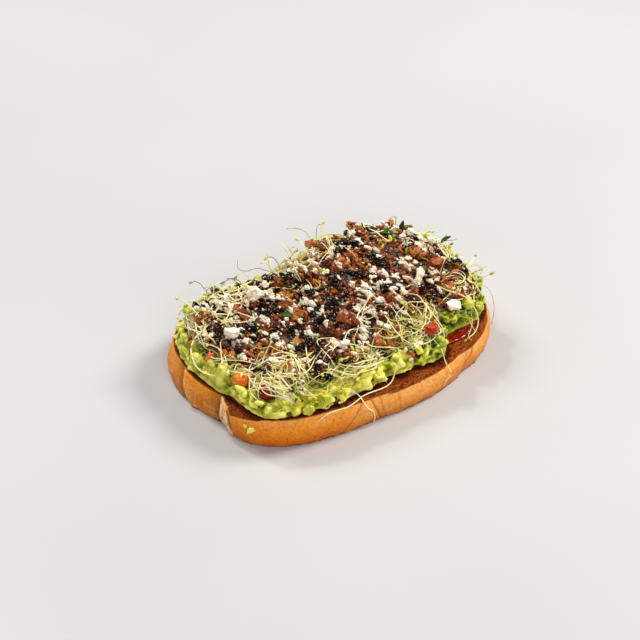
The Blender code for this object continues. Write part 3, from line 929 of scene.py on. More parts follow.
def measureGround(pieces):
    trees = [treeOf(piece) for piece in pieces]
    low = np.array(cadBox[0][:2]) - ground["margin"]
    high = np.array(cadBox[1][:2]) + ground["margin"]
    columns, rows = np.ceil((high - low) / ground["cell"]).astype(int)
    heights = np.zeros((columns, rows))
    for i in range(columns):
        for j in range(rows):
            x, y = low + (np.array((i, j)) + 0.5) * ground["cell"]
            heights[i, j] = surfaceBelow(trees, x, y) or 0
    ground["low"] = low
    ground["heights"] = heights


def cellOf(x, y):
    shape = ground["heights"].shape
    i = np.clip(((x - ground["low"][0]) / ground["cell"]).astype(int), 0, shape[0] - 1)
    j = np.clip(((y - ground["low"][1]) / ground["cell"]).astype(int), 0, shape[1] - 1)
    return i, j


def groundAt(x, y):
    i, j = cellOf(np.asarray(x), np.asarray(y))
    return ground["heights"][i, j]


def raiseGround(x, y, z, radius):
    # a ball of this radius now lies here
    i, j = cellOf(np.asarray(x), np.asarray(y))
    reach = int(radius / ground["cell"]) + 1
    window = ground["heights"][max(i - reach, 0):i + reach + 1, max(j - reach, 0):j + reach + 1]
    across = (np.arange(window.shape[0]) - min(i, reach)) * ground["cell"]
    along = (np.arange(window.shape[1]) - min(j, reach)) * ground["cell"]
    off = across[:, None] ** 2 + along[None, :] ** 2
    top = z + np.sqrt(np.maximum(radius ** 2 - off, 0))
    np.maximum(window, np.where(off < radius ** 2, top, 0), out=window)


# the sprouts: thin stems, and pairs of small leaves at their ends

stems = {
    "radius": (0.17 * mm, 0.36 * mm),
    "step": 2.1 * mm,
    "sides": 5,
    # bundles, stems in each, the node they start in, how far inside it and inside the crumbs in mm,
    # where round the heap and half how wide, the way they lie and how much that varies in degrees,
    # length and lift in mm, and how much they curl
    "layers": {
        "mat": (18, 3, "sprout_heap", (0, 60), (-60, -2), (0, 180), (-85, 60), (14, 26), 0.8, 0.22),
        "left": (25, 4, "avocado_mash", (5, 40), (-14, 1), (180, 50), (-80, 36), (16, 40), 3.0, 0.13),
        "front": (9, 4, "avocado_mash", (4, 40), (-13, 1), (248, 20), (-88, 40), (16, 36), 2.6, 0.16),
        "right": (9, 4, "avocado_mash", (2.5, 40), (-16, 1), (306, 34), (-60, 70), (16, 40), 3.0, 0.34),
        "rightEnd": (14, 3, "avocado_mash", (2, 40), (-12, 1), (5, 32), (0, 180), (14, 30), 3.0, 0.26),
        "back": (28, 4, "avocado_mash", (2, 40), (-12, 1), (95, 60), (160, 70), (16, 34), 3.4, 0.26),
    },
    "overEdge": (16, 4, "avocado_mash", (5, 60), (-7, 3), (0, 180), (-80, 50), (14, 36), 2.0, 0.18),
    # short ones that stand out of the heap's edge: how many, between which directions in degrees,
    # how far out and up in mm
    "standing": ((26, (62, 172), (5, 12), (3, 8)), (12, (-35, 35), (5, 11), (2, 6)),
                 (10, (172, 225), (5, 10), (2, 5))),
    "overCrumbs": (16, 2, "crumb_topping", (-2, 24), (-60, 60), (0, 180), (-50, 90), (12, 30), 0.9, 0.28),
    "keepIn": (1, 9),  # how far inside the mash's edge they stay, mm
    "leafShare": 0.2,
    "handLaidThinner": 0.78,  # share of their stated radius that the listed ones have
    "seed": 23,
}

# stems listed one by one where they stand out: radius, tone, whether it ends in leaves, and its route in mm
handLaid = (
    (0.42, 0.2, False, ((-24, -48, 19), (-22, -49.5, 17.5), (-21.2, -52.4, 15), (-19.7, -53.8, 11.5),
                        (-17.2, -54.2, 9), (-15.9, -54, 5), (-16.2, -53.4, 0.8))),
    (0.36, 0.3, False, ((24, -44, 26), (25.7, -48.2, 22), (26.3, -51.1, 16), (28.7, -52.6, 9.5),
                        (25.8, -53.2, 7.2), (24, -53.5, 4.4))),
    (0.42, 0.1, False, ((-44.4, -50.2, 13.2), (-42.2, -50.6, 14.6), (-37.2, -51, 16), (-30.7, -51.8, 15.4),
                        (-26, -51.9, 16.2), (-21, -50.6, 16.8), (-15.5, -50.6, 17), (-10, -51, 16.8),
                        (-5.1, -50.6, 17.2), (-1.6, -48.6, 18.6), (-0.6, -48, 21.6), (1.2, -47.4, 23.4),
                        (4.5, -46.6, 24))),
    (0.46, 0.25, True, ((42, -21, 36), (46, -26, 34), (50.4, -31.1, 32.6), (53.8, -34.5, 28.5),
                        (55.4, -38, 21), (51.5, -41, 16.8), (45.6, -42.6, 16.2))),
    (0.44, 0.15, False, ((-58, 19, 31), (-63.9, 17.3, 29.5), (-68.5, 17, 26.8), (-72.8, 12.5, 25),
                         (-75.2, 5.2, 23), (-75, -1.2, 22.6), (-72.2, -8, 23.4))),
    (0.42, 0.2, False, ((-62, 4, 31), (-66.4, -4.4, 27), (-67, -9.8, 25.8), (-63.5, -15.4, 25),
                        (-60.8, -24.1, 27))),
    (0.36, 0.3, False, ((-32, -40, 25), (-36.9, -45.8, 22.5), (-40.4, -46.8, 20), (-39.6, -48.8, 17.2),
                        (-37.4, -49, 18.2), (-38.4, -47.8, 20.2))),
    # a brown one, and pale ones that cross the near side of the heap
    (0.4, 1.0, False, ((2.6, -18.5, 35), (4.4, -19.2, 36.4), (7.6, -19.9, 37.6), (10.9, -22.1, 38),
                       (13.4, -25.6, 37.2))),
    (0.34, 0.1, False, ((8.3, -27, 36), (8, -31, 35.2), (7.9, -34.2, 33.4), (9.5, -39.1, 30),
                        (12, -42.6, 27.8))),
    (0.34, 0.2, False, ((27, -20, 36.6), (29.4, -24.7, 37), (29.5, -30.2, 34.9), (29.8, -37, 32.4),
                        (30.6, -42.2, 28.6), (29.5, -45.6, 24.5))),
    (0.26, 0.2, False, ((54, -33, 24.5), (52.6, -37, 20.8), (49.6, -39.8, 18), (46.6, -42, 16.6),
                        (46.4, -44.8, 16.2))),
    (0.26, 0.3, False, ((50, -35.4, 25), (50.4, -38.6, 20.6), (51.4, -40.4, 17.6), (52.4, -41.2, 16.6))),
    # thin dry curls that stand up behind the heap
    (0.22, 0.9, False, ((-12, 29, 33), (-16.5, 34, 35), (-20, 38.5, 35.4), (-24.5, 41, 34), (-26, 46, 33.5),
                        (-23.5, 50, 35))),
    (0.20, 0.9, False, ((-5, 31, 34), (-3.5, 35.5, 36), (0, 37.5, 36.2), (0.5, 41, 37), (3.4, 40.5, 37.6))),
    (0.24, 0.95, False, ((-54, 31, 30), (-51, 34.5, 33.8), (-47.6, 38, 34.8), (-45.8, 35, 34.6),
                         (-46.4, 29, 33))),
    (0.22, 0.9, False, ((0.4, 31.5, 33), (1.4, 34.2, 37), (4, 34.6, 37.8), (5.4, 30.6, 35.4))),
    # and at the right end
    (0.20, 0.85, False, ((60, 5, 36), (63, 3, 38.4), (66, 1.3, 39.4), (68, 0, 39.6), (70, -1.4, 40.4))),
    (0.24, 0.5, False, ((67, -12, 30), (69, -13.4, 31.6), (71, -14.5, 32.6), (74, -16.5, 30),
                        (73, -16.3, 27))),
    (0.26, 0.4, True, ((63, -18, 28), (67, -20.5, 28.5), (69, -21.9, 29.6), (72, -24, 31.6))),
    (0.24, 0.6, True, ((66, -22, 27), (70, -24.2, 26), (73, -25.7, 21), (74.5, -26.2, 15), (75, -26.2, 10),
                       (74.4, -26.2, 5), (73.6, -26.4, 3))),
)


def smoothRoute(points, count):
    # a Catmull-Rom curve through a few points, read at even steps
    points = np.array(points, float)
    padded = np.vstack((2 * points[0] - points[1], points, 2 * points[-1] - points[-2]))
    at = np.linspace(0, len(points) - 1.0001, count)
    start = at.astype(int)
    t = (at - start)[:, None]
    a, b, c, d = (padded[start + k] for k in range(4))
    squared = (2 * a - 5 * b + 4 * c - d) * t ** 2
    cubed = (3 * b - a - 3 * c + d) * t ** 3
    return 0.5 * (2 * b + (c - a) * t + squared + cubed)


def layStem(draw, place, heading, length, bends, lift, radius, overhang):
    # it starts at a place, bends on its way and lies on what is below, stiff enough to bridge hollows
    x, y = place
    route = []
    for number in range(max(6, round(length / stems["step"]))):
        route.append((x, y))
        heading += bends[number % len(bends)]
        outward = angleFrom(heading, degrees(atan2(y, x)))
        if insetIn("avocado_mash", x, y) < 2 * stems["step"] - overhang and abs(outward) < pi / 2:
            heading += 0.5 if outward > 0 else -0.5  # near the edge it turns to run along it
        x += stems["step"] * cos(heading)
        y += stems["step"] * sin(heading)
        if insetIn("bread_slice", x, y) < -0.5 * mm or insetIn("avocado_mash", x, y) < -overhang:
            break
    if len(route) < 5:
        return None
    flat = np.array(route)
    low = groundAt(flat[:, 0], flat[:, 1]) + radius
    share = np.linspace(0, 1, len(flat))
    height = low + lift * draw.uniform(0.2, 1.6) * np.sin(pi * share) ** 0.7
    for _ in range(8):
        height[1:-1] = np.maximum(low[1:-1], 0.4 * height[1:-1] + 0.3 * (height[:-2] + height[2:]))
    height = np.clip(height, radius, highest - radius)
    for (px, py), pz in zip(flat, height):
        raiseGround(px, py, pz - 0.35 * radius, radius)
    return np.column_stack((flat, height))


def drawTubes(name, routes, sides):
    # tapered closed tubes along routes of (points, radius, tone), in one mesh
    points, faces, along, tones = [], [], [], []
    turns = np.linspace(0, tau, sides, endpoint=False)
    for route, radius, tone, leafy in routes:
        count = len(route)
        tangent = np.gradient(route, axis=0)
        tangent /= np.linalg.norm(tangent, axis=1)[:, None]
        side = np.cross(tangent, (0.13, 0.21, 1.0))
        side /= np.linalg.norm(side, axis=1)[:, None]
        up = np.cross(side, tangent)
        share = np.linspace(0, 1, count)
        width = radius * (0.55 + 0.45 * np.minimum(1, share / 0.25)) * (1 - 0.25 * ease(share, 0.7, 1))
        ring = side[:, None] * np.cos(turns)[None, :, None] + up[:, None] * np.sin(turns)[None, :, None]
        tube = route[:, None] + width[:, None, None] * ring
        base = len(points)
        points.extend(tube.reshape(-1, 3).tolist())
        points.append((route[0] - tangent[0] * width[0] * 0.6).tolist())
        points.append((route[-1] + tangent[-1] * width[-1] * 0.6).tolist())
        for i in range(count - 1):
            for j in range(sides):
                a, b = base + i * sides + j, base + i * sides + (j + 1) % sides
                faces.append((a, a + sides, b + sides, b))
        first, last = base + count * sides, base + (count - 1) * sides
        for j in range(sides):
            faces.append((first, base + j, base + (j + 1) % sides))
            faces.append((first + 1, last + (j + 1) % sides, last + j))
        along.extend(np.append(np.repeat(share, sides), (0, 1)))
        tones.extend([tone] * (count * sides + 2))
    piece = pieceFrom(name, points, faces)
    paint(piece, along=np.array(along), tone=np.array(tones))
    return piece


def layStems(draw, layer):
    # stems lie in bundles that share a start, a heading and most of their bends
    bundles, together, node, nodeInset, crumbInset, sector, (flow, varies), length, lift, wander = layer
    laid = []
    for _ in range(bundles):
        x, y = placeIn(draw, node, nodeInset, crumbInset)
        while abs(angleFrom(atan2(y, x), sector[0])) > radians(sector[1]):
            x, y = placeIn(draw, node, nodeInset, crumbInset)
        heading = radians(flow + draw.uniform(-varies, varies) + 180 * (draw.uniform() < 0.3))
        curl = wander * (1.7 if draw.uniform() < 0.25 else 1)
        shared = np.convolve(draw.normal(0, curl, 24), (0.2, 0.3, 0.3, 0.2), "same")
        shared = shared + draw.normal(0, 0.5 * curl)
        tone = draw.uniform(0, 0.8) ** 2.1
        for _ in range(draw.integers(1, 2 * together)):
            place = x + draw.normal(0, 2.4) * mm, y + draw.normal(0, 2.4) * mm
            radius = draw.uniform(*stems["radius"])
            bends = shared + np.convolve(draw.normal(0, 1.2 * wander, 24), (0.3, 0.4, 0.3), "same")
            overhang = -draw.uniform(*stems["keepIn"]) * mm
            route = layStem(draw, place, heading + draw.normal(0, 0.35), draw.uniform(*length) * mm,
                            bends, lift * mm, radius, overhang)
            leafy = draw.uniform() < stems["leafShare"]
            if route is not None:
                smooth = smoothRoute(route, min(18, len(route) + 5))
                laid.append((smooth, radius, tone + draw.uniform(-0.1, 0.15), leafy))
    return laid


def standingStems(draw):
    # they leave the heap's edge outwards and upwards, and nod over
    laid = []
    for count, (low, high), reach, rise in stems["standing"]:
        for _ in range(count):
            angle = radians(draw.uniform(low, high))
            start = float(outlines["sprout_heap"](angle)) - draw.uniform(1, 6) * mm
            out, up, sideways = draw.uniform(*reach) * mm, draw.uniform(*rise) * mm, draw.normal(0, 5) * mm
            foot = float(groundAt(start * cos(angle), start * sin(angle)))
            route = []
            for share in (0, 0.3, 0.6, 0.85, 1):
                radius = start + out * share
                side = sideways * share * share
                x = radius * cos(angle) - side * sin(angle)
                y = radius * sin(angle) + side * cos(angle)
                route.append((x, y, min(foot + up * sin(2.2 * share), highest - 1 * mm)))
            thickness, tone = draw.uniform(0.18, 0.3) * mm, draw.uniform(0.1, 0.9)
            laid.append((smoothRoute(route, 9), thickness, tone, draw.uniform() < 0.6))
    return laid


def stemMaterial():
    # living shoots: milky white to pale green, half translucent, with a satin skin
    return mottledMaterial(
        "alfalfa shoots", (10 / 2.6, 2, 0.5, 0.35), {"tone": 1, "along": 0.12},
        ((0.2, "#FCEFC6"), (0.5, "#ECDC96"), (0.78, "#BEB154"), (0.96, "#A08C48"), (1.0, "#8A6242")),
        Roughness=0.32, IOR=1.4, Subsurface_Weight=0.35, Subsurface_Scale=0.0012,
        Subsurface_Radius=(1.0, 0.9, 0.5))


leaves = {
    "length": (2.2 * mm, 3.8 * mm),
    "loose": 160,
    "seed": 31,
}


def leafShape():
    # a small fleshy seed leaf: a ball flattened into a spoon, 1 long, its stalk at the origin
    bpy.ops.mesh.primitive_uv_sphere_add(segments=8, ring_count=5, radius=0.5, rotation=(0, pi / 2, 0))
    leaf = bpy.context.object
    bpy.ops.object.transform_apply(rotation=True)
    points = pointsOf(leaf)
    along = points[:, 0] + 0.5
    width = 0.1 + 0.2 * np.sin(pi * along ** 1.3)
    points[:, 1] *= width / 0.5 * 0.85
    points[:, 2] = points[:, 2] * 0.22 + 0.14 * along ** 2 + 0.5 * points[:, 1] ** 2
    points[:, 0] = along
    movePoints(leaf, points)
    return takeShape(leaf)


def leafMaterial():
    # young seed leaves: bright yellow-green, waxy, lit through
    return mottledMaterial(
        "waxy seed leaves", (10 / 7, 2, 0.5, 0.3), {"tone": 1},
        ((0.15, "#567412"), (0.5, "#97AE1E"), (0.9, "#C2CA32"), (1.0, "#D6D460")),
        Roughness=0.35, IOR=1.4, Subsurface_Weight=0.3, Subsurface_Scale=0.001,
        Subsurface_Radius=(0.6, 1.0, 0.2))


def aimed(direction, roll):
    # a turn that takes +X to this direction
    turn = Vector(direction).to_track_quat("X", "Z").to_matrix()
    return turn @ Matrix.Rotation(roll, 3, "X")


def leavesOn(draw, routes):
    # a pair of leaves, or one, at the ends of the leafy stems
    copies = []
    for route, radius, tone, leafy in routes:
        end = route[-1]
        if not leafy or not 4 * mm < end[2] < highest - leaves["length"][1]:
            continue
        ahead = Vector(route[-1] - route[-2]).normalized()
        size = draw.uniform(*leaves["length"])
        roll = draw.uniform(0, tau)
        for lean in (0.35, -0.35) if draw.uniform() < 0.7 else (0.0,):
            turn = aimed(ahead, roll) @ Matrix.Rotation(lean + draw.normal(0, 0.1), 3, "Y")
            if lean < 0:
                turn = turn @ Matrix.Rotation(pi, 3, "X")
            copies.append((0, end, turn, size, draw.uniform()))
    return copies


def looseLeaves(draw):
    # leaves that lie singly among the stems, and here and there among the crumbs
    copies = []
    for _ in range(leaves["loose"]):
        x, y = placeIn(draw, "sprout_heap", (-1, 60), (-30, 30 if draw.uniform() < 0.4 else 3))
        place = x, y, min(float(groundAt(x, y)) + 0.3 * mm, highest - 0.8 * leaves["length"][1])
        turn = Euler((draw.normal(0, 0.5), draw.uniform(-0.8, 0.1), draw.uniform(0, tau))).to_matrix()
        copies.append((0, place, turn, draw.uniform(*leaves["length"]), draw.uniform()))
    return copies


# what is sprinkled on top

sprinkles = {
    # clusters, pieces in each, how far they reach along and across in mm, size range in mm,
    # stretch along, across and up, how much each raises the heap, and the patches they lie in:
    # size in mm, seed, and where between -1 and 1 they start and are thickest
    "nuggets": (200, 2, (2.6, 0.9), (2.4, 6.4), (1.3, 0.9, 0.65), 0.3, (9, 2.0, -0.5, 0.1)),
    "brownGrains": (300, 9, (2.6, 0.9), (0.8, 1.7), (1.2, 1.0, 0.85), 0.5, None),
    "flakes": (190, 1, (2.6, 0.9), (2.8, 6.0), (1.6, 0.6, 0.35), 0.3, None),
    "blackGrains": (140, 8, (3.0, 1.2), (1.0, 3.2), (1.8, 1.1, 0.62), 0.24, (8, 8.0, -0.3, 0.2)),
    "cheeseLumps": (168, 5, (3.4, 0.8), (1.4, 3.9), (1.6, 0.95, 0.7), 0.32, (7, 5.0, -0.2, 0.25)),
    "cheeseCrumbs": (280, 2, (3.0, 1.0), (0.7, 1.6), (1.5, 0.9, 0.8), 0.45, (7, 5.0, -0.6, 0.1)),
    "drift": -76,  # the way the sprinkled pieces lie in streaks, degrees
    # where single crumbs lie outside the rest: direction and half width in degrees, and how far out
    "spills": ((305, 23, 12 * mm), (262, 14, 8 * mm)),
    "seed": 47,
}


def wantedAt(x, y, patch):
    # how likely a crumb is here: in patches, thinner at the edge, and further out where they spill
    density = 1
    if patch:
        size, seed, low, high = patch
        shift = Vector((seed, -seed, seed))
        density = float(ease(np.array(noise.noise(Vector((x, y, 0)) / (size * mm) + shift)), low, high))
    further = 0.0
    for direction, halfWidth, reach in sprinkles["spills"]:
        further = max(further, reach * float(near(atan2(y, x), direction, halfWidth, 2 * halfWidth)))
    inset = insetIn("crumb_topping", x, y)
    thinned = float(ease(inset, -3.5 * mm, 2.5 * mm)) + 0.45 * float(ease(inset + further, -1 * mm, 2.5 * mm))
    return density * min(1, thinned) * (insetIn("sprout_heap", x, y) > -1 * mm)


def sprinkle(draw, shapes, clusters, together, streak, size, stretch, rise, patch):
    # settles streaks of pieces one by one
    copies = []
    laid = 0
    drift = radians(sprinkles["drift"])
    while laid < clusters:
        middle = placeIn(draw, "crumb_topping", (-14, 60), (-60, 60))
        if draw.uniform() > wantedAt(*middle, patch):
            continue
        laid += 1
        heading = drift + draw.normal(0, 0.2)
        for _ in range(draw.integers(1, 2 * together) if together > 1 else 1):
            along, across = draw.normal(0, streak) * mm * (together > 1)
            x = middle[0] + along * cos(heading) - across * sin(heading)
            y = middle[1] + along * sin(heading) + across * cos(heading)
            wide = (size[0] + (size[1] - size[0]) * draw.uniform() ** 1.8) * mm
            z = float(groundAt(x, y)) + rise * wide / 2
            if z + wide / 2 > highest:
                continue
            raiseGround(x, y, z - 0.05 * wide, 0.42 * wide)
            turn = Euler((draw.uniform(0, tau), draw.normal(0, 0.35), heading + draw.normal(0, 0.35)))
            scale = wide * np.array(stretch) * draw.uniform(0.8, 1.2, 3)
            number = int(draw.integers(len(shapes)))
            copies.append((number, (x, y, z), turn.to_matrix(), scale, draw.uniform()))
    return copies


def crumbMaterial():
    # fried crunchy crumbs, caramelised: dark red-brown with amber edges, with oily glints
    return mottledMaterial(
        "caramelised crumbs", (10 / 13, 3, 0.7, 1), {"tone": 0.45},
        ((0.42, "#1C0601"), (0.59, "#561D05"), (0.77, "#9A430D"), (0.97, "#DE963E")),
        (0.8, 0.6), Roughness=0.3, IOR=1.5, Specular_IOR_Level=0.4)


def cheeseMaterial():
    # fresh white cheese, crumbled: matt, with painted shade: darker cream in its hollows
    return mottledMaterial(
        "crumbled white cheese", (10 / 4.2, 4, 0.65, 1), {},
        ((0.3, "#BCA06A"), (0.43, "#E6D8BA"), (0.58, "#F8F0DE")), (0.5, 0.8),
        Roughness=0.65, Subsurface_Weight=0.15, Subsurface_Scale=0.0008, Subsurface_Radius=(1.0, 0.9, 0.7))


def glazeMaterial():
    # seeds under reduced vinegar glaze: almost black, mirror-glossy
    return mottledMaterial(
        "seeds under black glaze", (2, 2, 0.5, 1), {}, ((0.4, "#050100"), (0.7, "#2A0B02")),
        Roughness=0.03, IOR=1.42, Specular_IOR_Level=0.5, Specular_Tint=(1, 0.86, 0.7, 1))


# the larger pieces

chunks = {
    "voxel": 0.36 * mm,
    # how many flats are broken off each kind, how deep at most, and its lumps: height and size
    "tomato": (8, 0.3, 0.3 * mm, 2.0 * mm),
    "avocado": (12, 0.6, 0.5 * mm, 2.2 * mm),
    "feta": (12, 0.5, 0.7 * mm, 1.8 * mm),
    "nut": (14, 0.5, 0.35 * mm, 1.2 * mm),
}


def breakOff(points, flats, deepest, draw):
    # what stands beyond each of a few random planes is broken off flat
    middle = points.mean(axis=0)
    for _ in range(flats):
        facing = draw.normal(0, 1, 3)
        facing /= np.linalg.norm(facing)
        reach = (points - middle) @ facing
        beyond = np.maximum(reach - reach.max() * (1 - draw.uniform(0.3, 1) * deepest), 0)
        points = points - beyond[:, None] * facing
    return points


def buildChunk(node, name, shaping, material, slotName, tone):
    flats, deepest, height, size = shaping
    piece = cadCopy(node, name)
    remesh(piece, chunks["voxel"])
    draw = np.random.default_rng(int(node[-1]))
    points = pointsOf(piece)
    points = points + pointsOf(piece, "normal") * 0.35 * mm
    movePoints(piece, breakOff(points, flats, deepest, draw))
    points = pointsOf(piece)
    push = height * noiseAt(points, size, 3) + 0.5 * height * noiseAt(points, size / 2.5, 9)
    movePoints(piece, points + pointsOf(piece, "normal") * push[:, None])
    # standOut gives the avocado chunks painted shade in their hollows; the other chunks' finishes do not read
    # it
    paint(piece, tone=tone, smear=0, shade=0, standOut=standOut(piece, 12, 1.6 * mm))
    return finishPiece(piece, material, slotName, node)


def tomatoMaterial():
    # diced ripe tomato, wet: from orange flesh to deep red skin
    return mottledMaterial(
        "wet diced tomato", (10 / 2.3, 3, 0.5, 1), {"tone": 0.5},
        ((0.45, "#7A1204"), (0.62, "#A82A06"), (0.85, "#CE5A12"), (1.0, "#DE8A30")), (0.4, 0.6),
        Roughness=0.16, IOR=1.38, Subsurface_Weight=0.25, Subsurface_Scale=0.0015,
        Subsurface_Radius=(1.0, 0.25, 0.1))


def nutMaterial():
    # candied nut, broken: amber to red-brown, grainy under a thin sugar gloss
    return mottledMaterial(
        "candied nut", (10 / 6, 4, 0.65, 1), {}, ((0.32, "#561E04"), (0.5, "#A04A0E"), (0.68, "#CC7E2C")),
        (0.6, 0.6), Roughness=0.32, IOR=1.48, Coat_Weight=0.25, Coat_Roughness=0.15)


# small pieces placed one by one: place in mm, size in mm, tone

smallPieces = {
    "crumbs": (
        ((-56, -43.8, 19.4), (4.4, 3.6, 3.2), 0.0), ((-50, -43, 22.6), (4.6, 3.4, 3), 0.1),
        ((-47.2, -45, 18.8), (4.6, 3.4, 3.6), 0.0), ((-51.4, -38.4, 26.6), (5, 4, 3.4), 0.0),
        ((-33.4, -47.4, 18.4), (5.4, 3.8, 4.2), 0.0), ((-21, -44.6, 23), (3.4, 3, 2.6), 0.2),
        ((22, -41.6, 24.6), (3.6, 3, 2.6), 0.1), ((61, -24, 26.5), (3.4, 3.4, 2.6), 0.1)),
    "tomato": (
        ((-67.8, 4.1, 25), (4.6, 3.4, 3.6), 0.7), ((-62.6, -0.8, 28.4), (3.6, 2.2, 2.4), 0.75),
        ((51.2, -30.1, 31.6), (4.4, 4.2, 3.6), 0.3), ((10.1, -45.5, 24), (1.6, 5, 3), 0.3),
        ((-68.1, 21.3, 24.4), (4, 1.8, 1.6), 0.0), ((57, -17, 32), (2.2, 4, 3.4), 0.1),
        ((12.8, -42.6, 23.6), (2, 3, 3.6), 0.05)),
    "onion": (
        ((13.2, -43.4, 26), (3.6, 3.2, 3), 0.6), ((-61.5, 34.5, 22.5), (3, 2.4, 2.4), 0.4),
        ((-23.8, -47, 19), (2.4, 3, 3.4), 0.5), ((9, -47.2, 22.6), (2.4, 2, 2.6), 0.8)),
    "avocado": (
        ((-70.4, -35.4, 9.6), (4.6, 3.4, 4.4), 0.9), ((-72, -32.2, 10.6), (3.4, 2.4, 2.2), 0.9),
        ((-67.7, -22.2, 22), (4.6, 4.2, 3.6), 0.2), ((-66.4, -27.6, 21.6), (5.4, 4.6, 4), 0.35),
        ((-6.8, -47.6, 19), (4, 3.6, 3.8), 0.9), ((-13.2, -45.8, 23.6), (4.4, 4, 3.4), 0.8)),
}


def buildSmallPieces(draw, kind, name, material, slotName):
    shapes = [brokenShape(draw, 1, 3, 0.2) for _ in smallPieces[kind]]
    copies = []
    for number, (place, size, tone) in enumerate(smallPieces[kind]):
        turn = Euler(draw.normal(0, 0.3, 3)).to_matrix()
        copies.append((number, np.array(place) * mm, turn, np.array(size) * mm * 1.15, tone))
    piece = joinCopies(name, shapes, copies)
    paint(piece, smear=0, standOut=0.75)
    return finishPiece(piece, material, slotName)


def onionMaterial():
    # chopped onion: glassy white with a pink tinge
    return mottledMaterial(
        "chopped onion", (10 / 3, 2, 0.5, 1), {}, ((0.35, "#D9B0A2"), (0.6, "#EFE6DA")),
        Roughness=0.2, IOR=1.38, Subsurface_Weight=0.3, Subsurface_Scale=0.0015)


# torn herb leaves

herbs = {
    # place in mm (height above what is below), length in mm, turn about Z and tilt in degrees
    "placed": (
        ((46.5, 30, 1.5), 12, -32, 6), ((56, 25.5, 0.4), 6, 30, -70), ((-27.5, 7.5, 1), 7, -30, 10),
        ((-42, 8, 0.8), 5, 20, 5), ((-27, 33, 0.8), 6.5, 0, -15), ((-20, 33, 0.8), 4, 30, -10),
        ((59, 8, 0.8), 5, -50, 5), ((64, 4, 0.6), 6, -10, -25), ((2, -40, 0.8), 4, 40, 0),
        ((-5, -43, 0.6), 4, -20, 10)),
    "loose": 34,
    "looseLength": (2 * mm, 4.5 * mm),
}


def herbShape(draw):
    # a pointed leaf 1 long with a midrib fold and a wavy edge, its stalk at the origin
    bpy.ops.mesh.primitive_grid_add(x_subdivisions=9, y_subdivisions=4, size=1)
    leaf = bpy.context.object
    points = pointsOf(leaf)
    along = points[:, 0] + 0.5
    across = points[:, 1] * 2
    width = 0.02 + 0.2 * np.sin(pi * np.clip(along, 0, 1) ** 0.8)
    points[:, 0] = along
    points[:, 1] = across * width
    points[:, 2] = 0.1 * np.abs(across) * width / 0.2 - 0.25 * (along - 0.4) ** 2
    points[:, 2] += 0.05 * noiseAt(points, 0.3, draw.uniform(0, 30)) * np.abs(across)
    movePoints(leaf, points)
    applyModifier(leaf, "SOLIDIFY", thickness=0.035)
    return takeShape(leaf)


def buildHerbs(draw):
    shapes = [herbShape(draw) for _ in range(4)]
    copies = []
    for (x, y, lift), length, turn, tilt in herbs["placed"]:
        facing = Matrix.Rotation(radians(turn), 3, "Z") @ Matrix.Rotation(radians(tilt), 3, "Y")
        room = highest - length * mm * max(0.15, sin(radians(-tilt)))
        place = x * mm, y * mm, min(float(groundAt(x * mm, y * mm)) + lift * mm, room)
        copies.append((int(draw.integers(4)), place, facing, length * mm, draw.uniform(0, 0.35)))
    for _ in range(herbs["loose"]):
        x, y = placeIn(draw, "crumb_topping", (-3, 60), (-60, 60))
        z = min(float(groundAt(x, y)) + 0.2 * mm, highest - 1 * mm)
        facing = Euler((draw.normal(0, 0.5), draw.normal(0, 0.35), draw.uniform(0, tau))).to_matrix()
        number, length = int(draw.integers(4)), draw.uniform(*herbs["looseLength"])
        copies.append((number, (x, y, z), facing, length, draw.uniform()))
    return finishPiece(joinCopies("herbLeaves", shapes, copies), herbMaterial(), "herbs")


def herbMaterial():
    # chopped green herbs: dark and soft green, faintly waxy
    return mottledMaterial(
        "chopped green herbs", (10 / 9, 2, 0.5, 0.3), {"tone": 1},
        ((0.15, "#1A3406"), (0.5, "#3A640C"), (0.9, "#6E9220"), (1.1, "#A8C23A")),
        Roughness=0.45, IOR=1.4, Specular_IOR_Level=0.3)


buildStudio()
highest = cadBox[1].z + 0.9 * mm  # nothing reaches above this
outlines = {}
for node in ("bread_slice", "avocado_mash", "sprout_heap", "crumb_topping"):
    outlines[node] = outlineRadius(node)
cadMashOutline = outlines["avocado_mash"]
outlines["avocado_mash"] = lambda angles: cadMashOutline(angles) - recessAt(angles)
toastedSlice = buildSlice()
buildSpread()
avocadoMash = buildMash()
heapCore = buildCore()
print("layers done")

tomatoFinish, cheeseFinish, nutFinish = tomatoMaterial(), cheeseMaterial(), nutMaterial()
avocadoFinish = mashMaterial()
finishes = {
    "tomato": (tomatoFinish, "tomato"),
    "avocado": (avocadoFinish, "avocado"),
    "feta": (cheeseFinish, "feta"),
    "nut": (nutFinish, "nuts"),
}
# which CAD node each stands for, its number and its tone
largerPieces = [("tomato_dice", 1, 0.75), ("tomato_dice", 2, 0.0), ("tomato_dice", 3, 0.3),
                ("avocado_chunk", 1, 0.5), ("avocado_chunk", 2, 0.5)]
for number in (1, 2, 3, 4):
    largerPieces += [("feta_chunk", number, 0.5), ("nut_chunk", number, 0.5)]
large = []
for node, number, tone in largerPieces:
    what, form = node.split("_")
    name = f"{what}{form.title()}{number}"
    large.append(buildChunk(f"{node}_{number}", name, chunks[what], *finishes[what], tone))
print("larger pieces done")

# the two tomato dice at the left end count as ground too, the other larger pieces do not
measureGround([toastedSlice, avocadoMash, heapCore] + large[:2])
draw = np.random.default_rng(stems["seed"])
routes = []
for layer in stems["layers"].values():
    routes += layStems(draw, layer)
routes += standingStems(draw)
for radius, tone, leafy, route in handLaid:
    radius *= stems["handLaidThinner"] * mm
    routes.append((smoothRoute(np.array(route) * mm, 20), radius, tone, leafy))
print("stems laid:", len(routes))

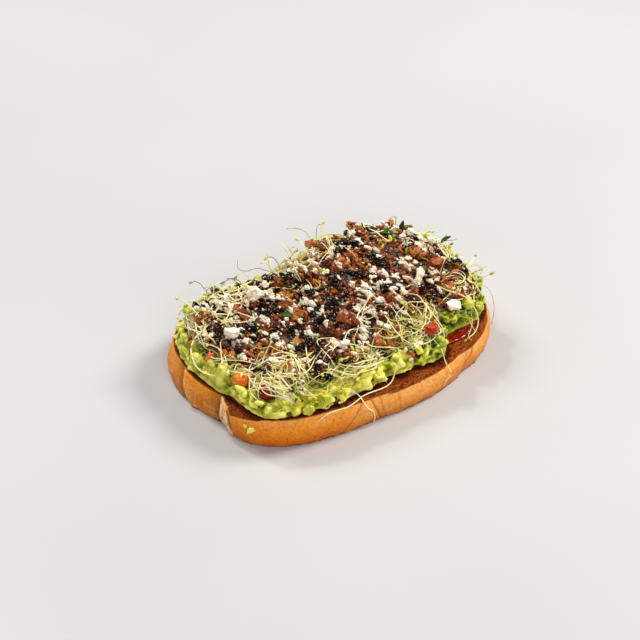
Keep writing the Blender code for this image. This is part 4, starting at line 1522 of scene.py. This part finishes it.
toss = np.random.default_rng(sprinkles["seed"])
crumbShapes = {
    "nuggets": [grainyShape(seed) for seed in range(6)],
    "brownGrains": [roughShape(seed) for seed in range(5)],
    "blackGrains": [seedShape(seed) for seed in range(4)],
    "cheeseCrumbs": [brokenShape(toss, 1, 1, 0.16) for _ in range(6)],
    "cheeseLumps": [brokenShape(toss, 1, 2, 0.22) for _ in range(8)],
    "flakes": [brokenShape(toss, 1, 1, 0.05) for _ in range(5)],
}
sprinkled = {}
for kind in ("nuggets", "brownGrains", "flakes", "blackGrains", "cheeseLumps", "cheeseCrumbs"):
    sprinkled[kind] = sprinkle(toss, crumbShapes[kind], *sprinkles[kind])
overCrumbs = layStems(draw, stems["overCrumbs"]) + layStems(draw, stems["overEdge"])
crumbFinish = crumbMaterial()
for name, kind, finish, slotName, *stoodFor in (
        ("crunchyNuggets", "nuggets", crumbFinish, "crumbs", "crumb_topping"),
        ("crunchyGrains", "brownGrains", crumbFinish, "crumbs"),
        ("glazedSeeds", "blackGrains", glazeMaterial(), "glaze"),
        ("candiedFlakes", "flakes", nutFinish, "nuts"),
        ("cheeseLumps", "cheeseLumps", cheeseFinish, "feta"),
        ("cheeseCrumbs", "cheeseCrumbs", cheeseFinish, "feta")):
    finishPiece(joinCopies(name, crumbShapes[kind], sprinkled[kind]), finish, slotName, *stoodFor)
print("crumbs sprinkled")

buildSmallPieces(toss, "tomato", "tomatoBits", tomatoFinish, "tomato")
buildSmallPieces(toss, "onion", "onionBits", onionMaterial(), "onion")
buildSmallPieces(toss, "crumbs", "sunkenCrumbs", crumbFinish, "crumbs")
buildSmallPieces(toss, "avocado", "avocadoBits", avocadoFinish, "avocado")
buildHerbs(toss)
stemFinish = stemMaterial()
finishPiece(drawTubes("sproutStems", routes, stems["sides"]), stemFinish, "sprouts")
finishPiece(drawTubes("strayStems", overCrumbs, stems["sides"]), stemFinish, "sprouts")
leafCopies = leavesOn(draw, routes + overCrumbs) + looseLeaves(draw)
finishPiece(joinCopies("sproutLeaves", [leafShape()], leafCopies), leafMaterial(), "sprouts")
print("small pieces, herbs and sprouts done")
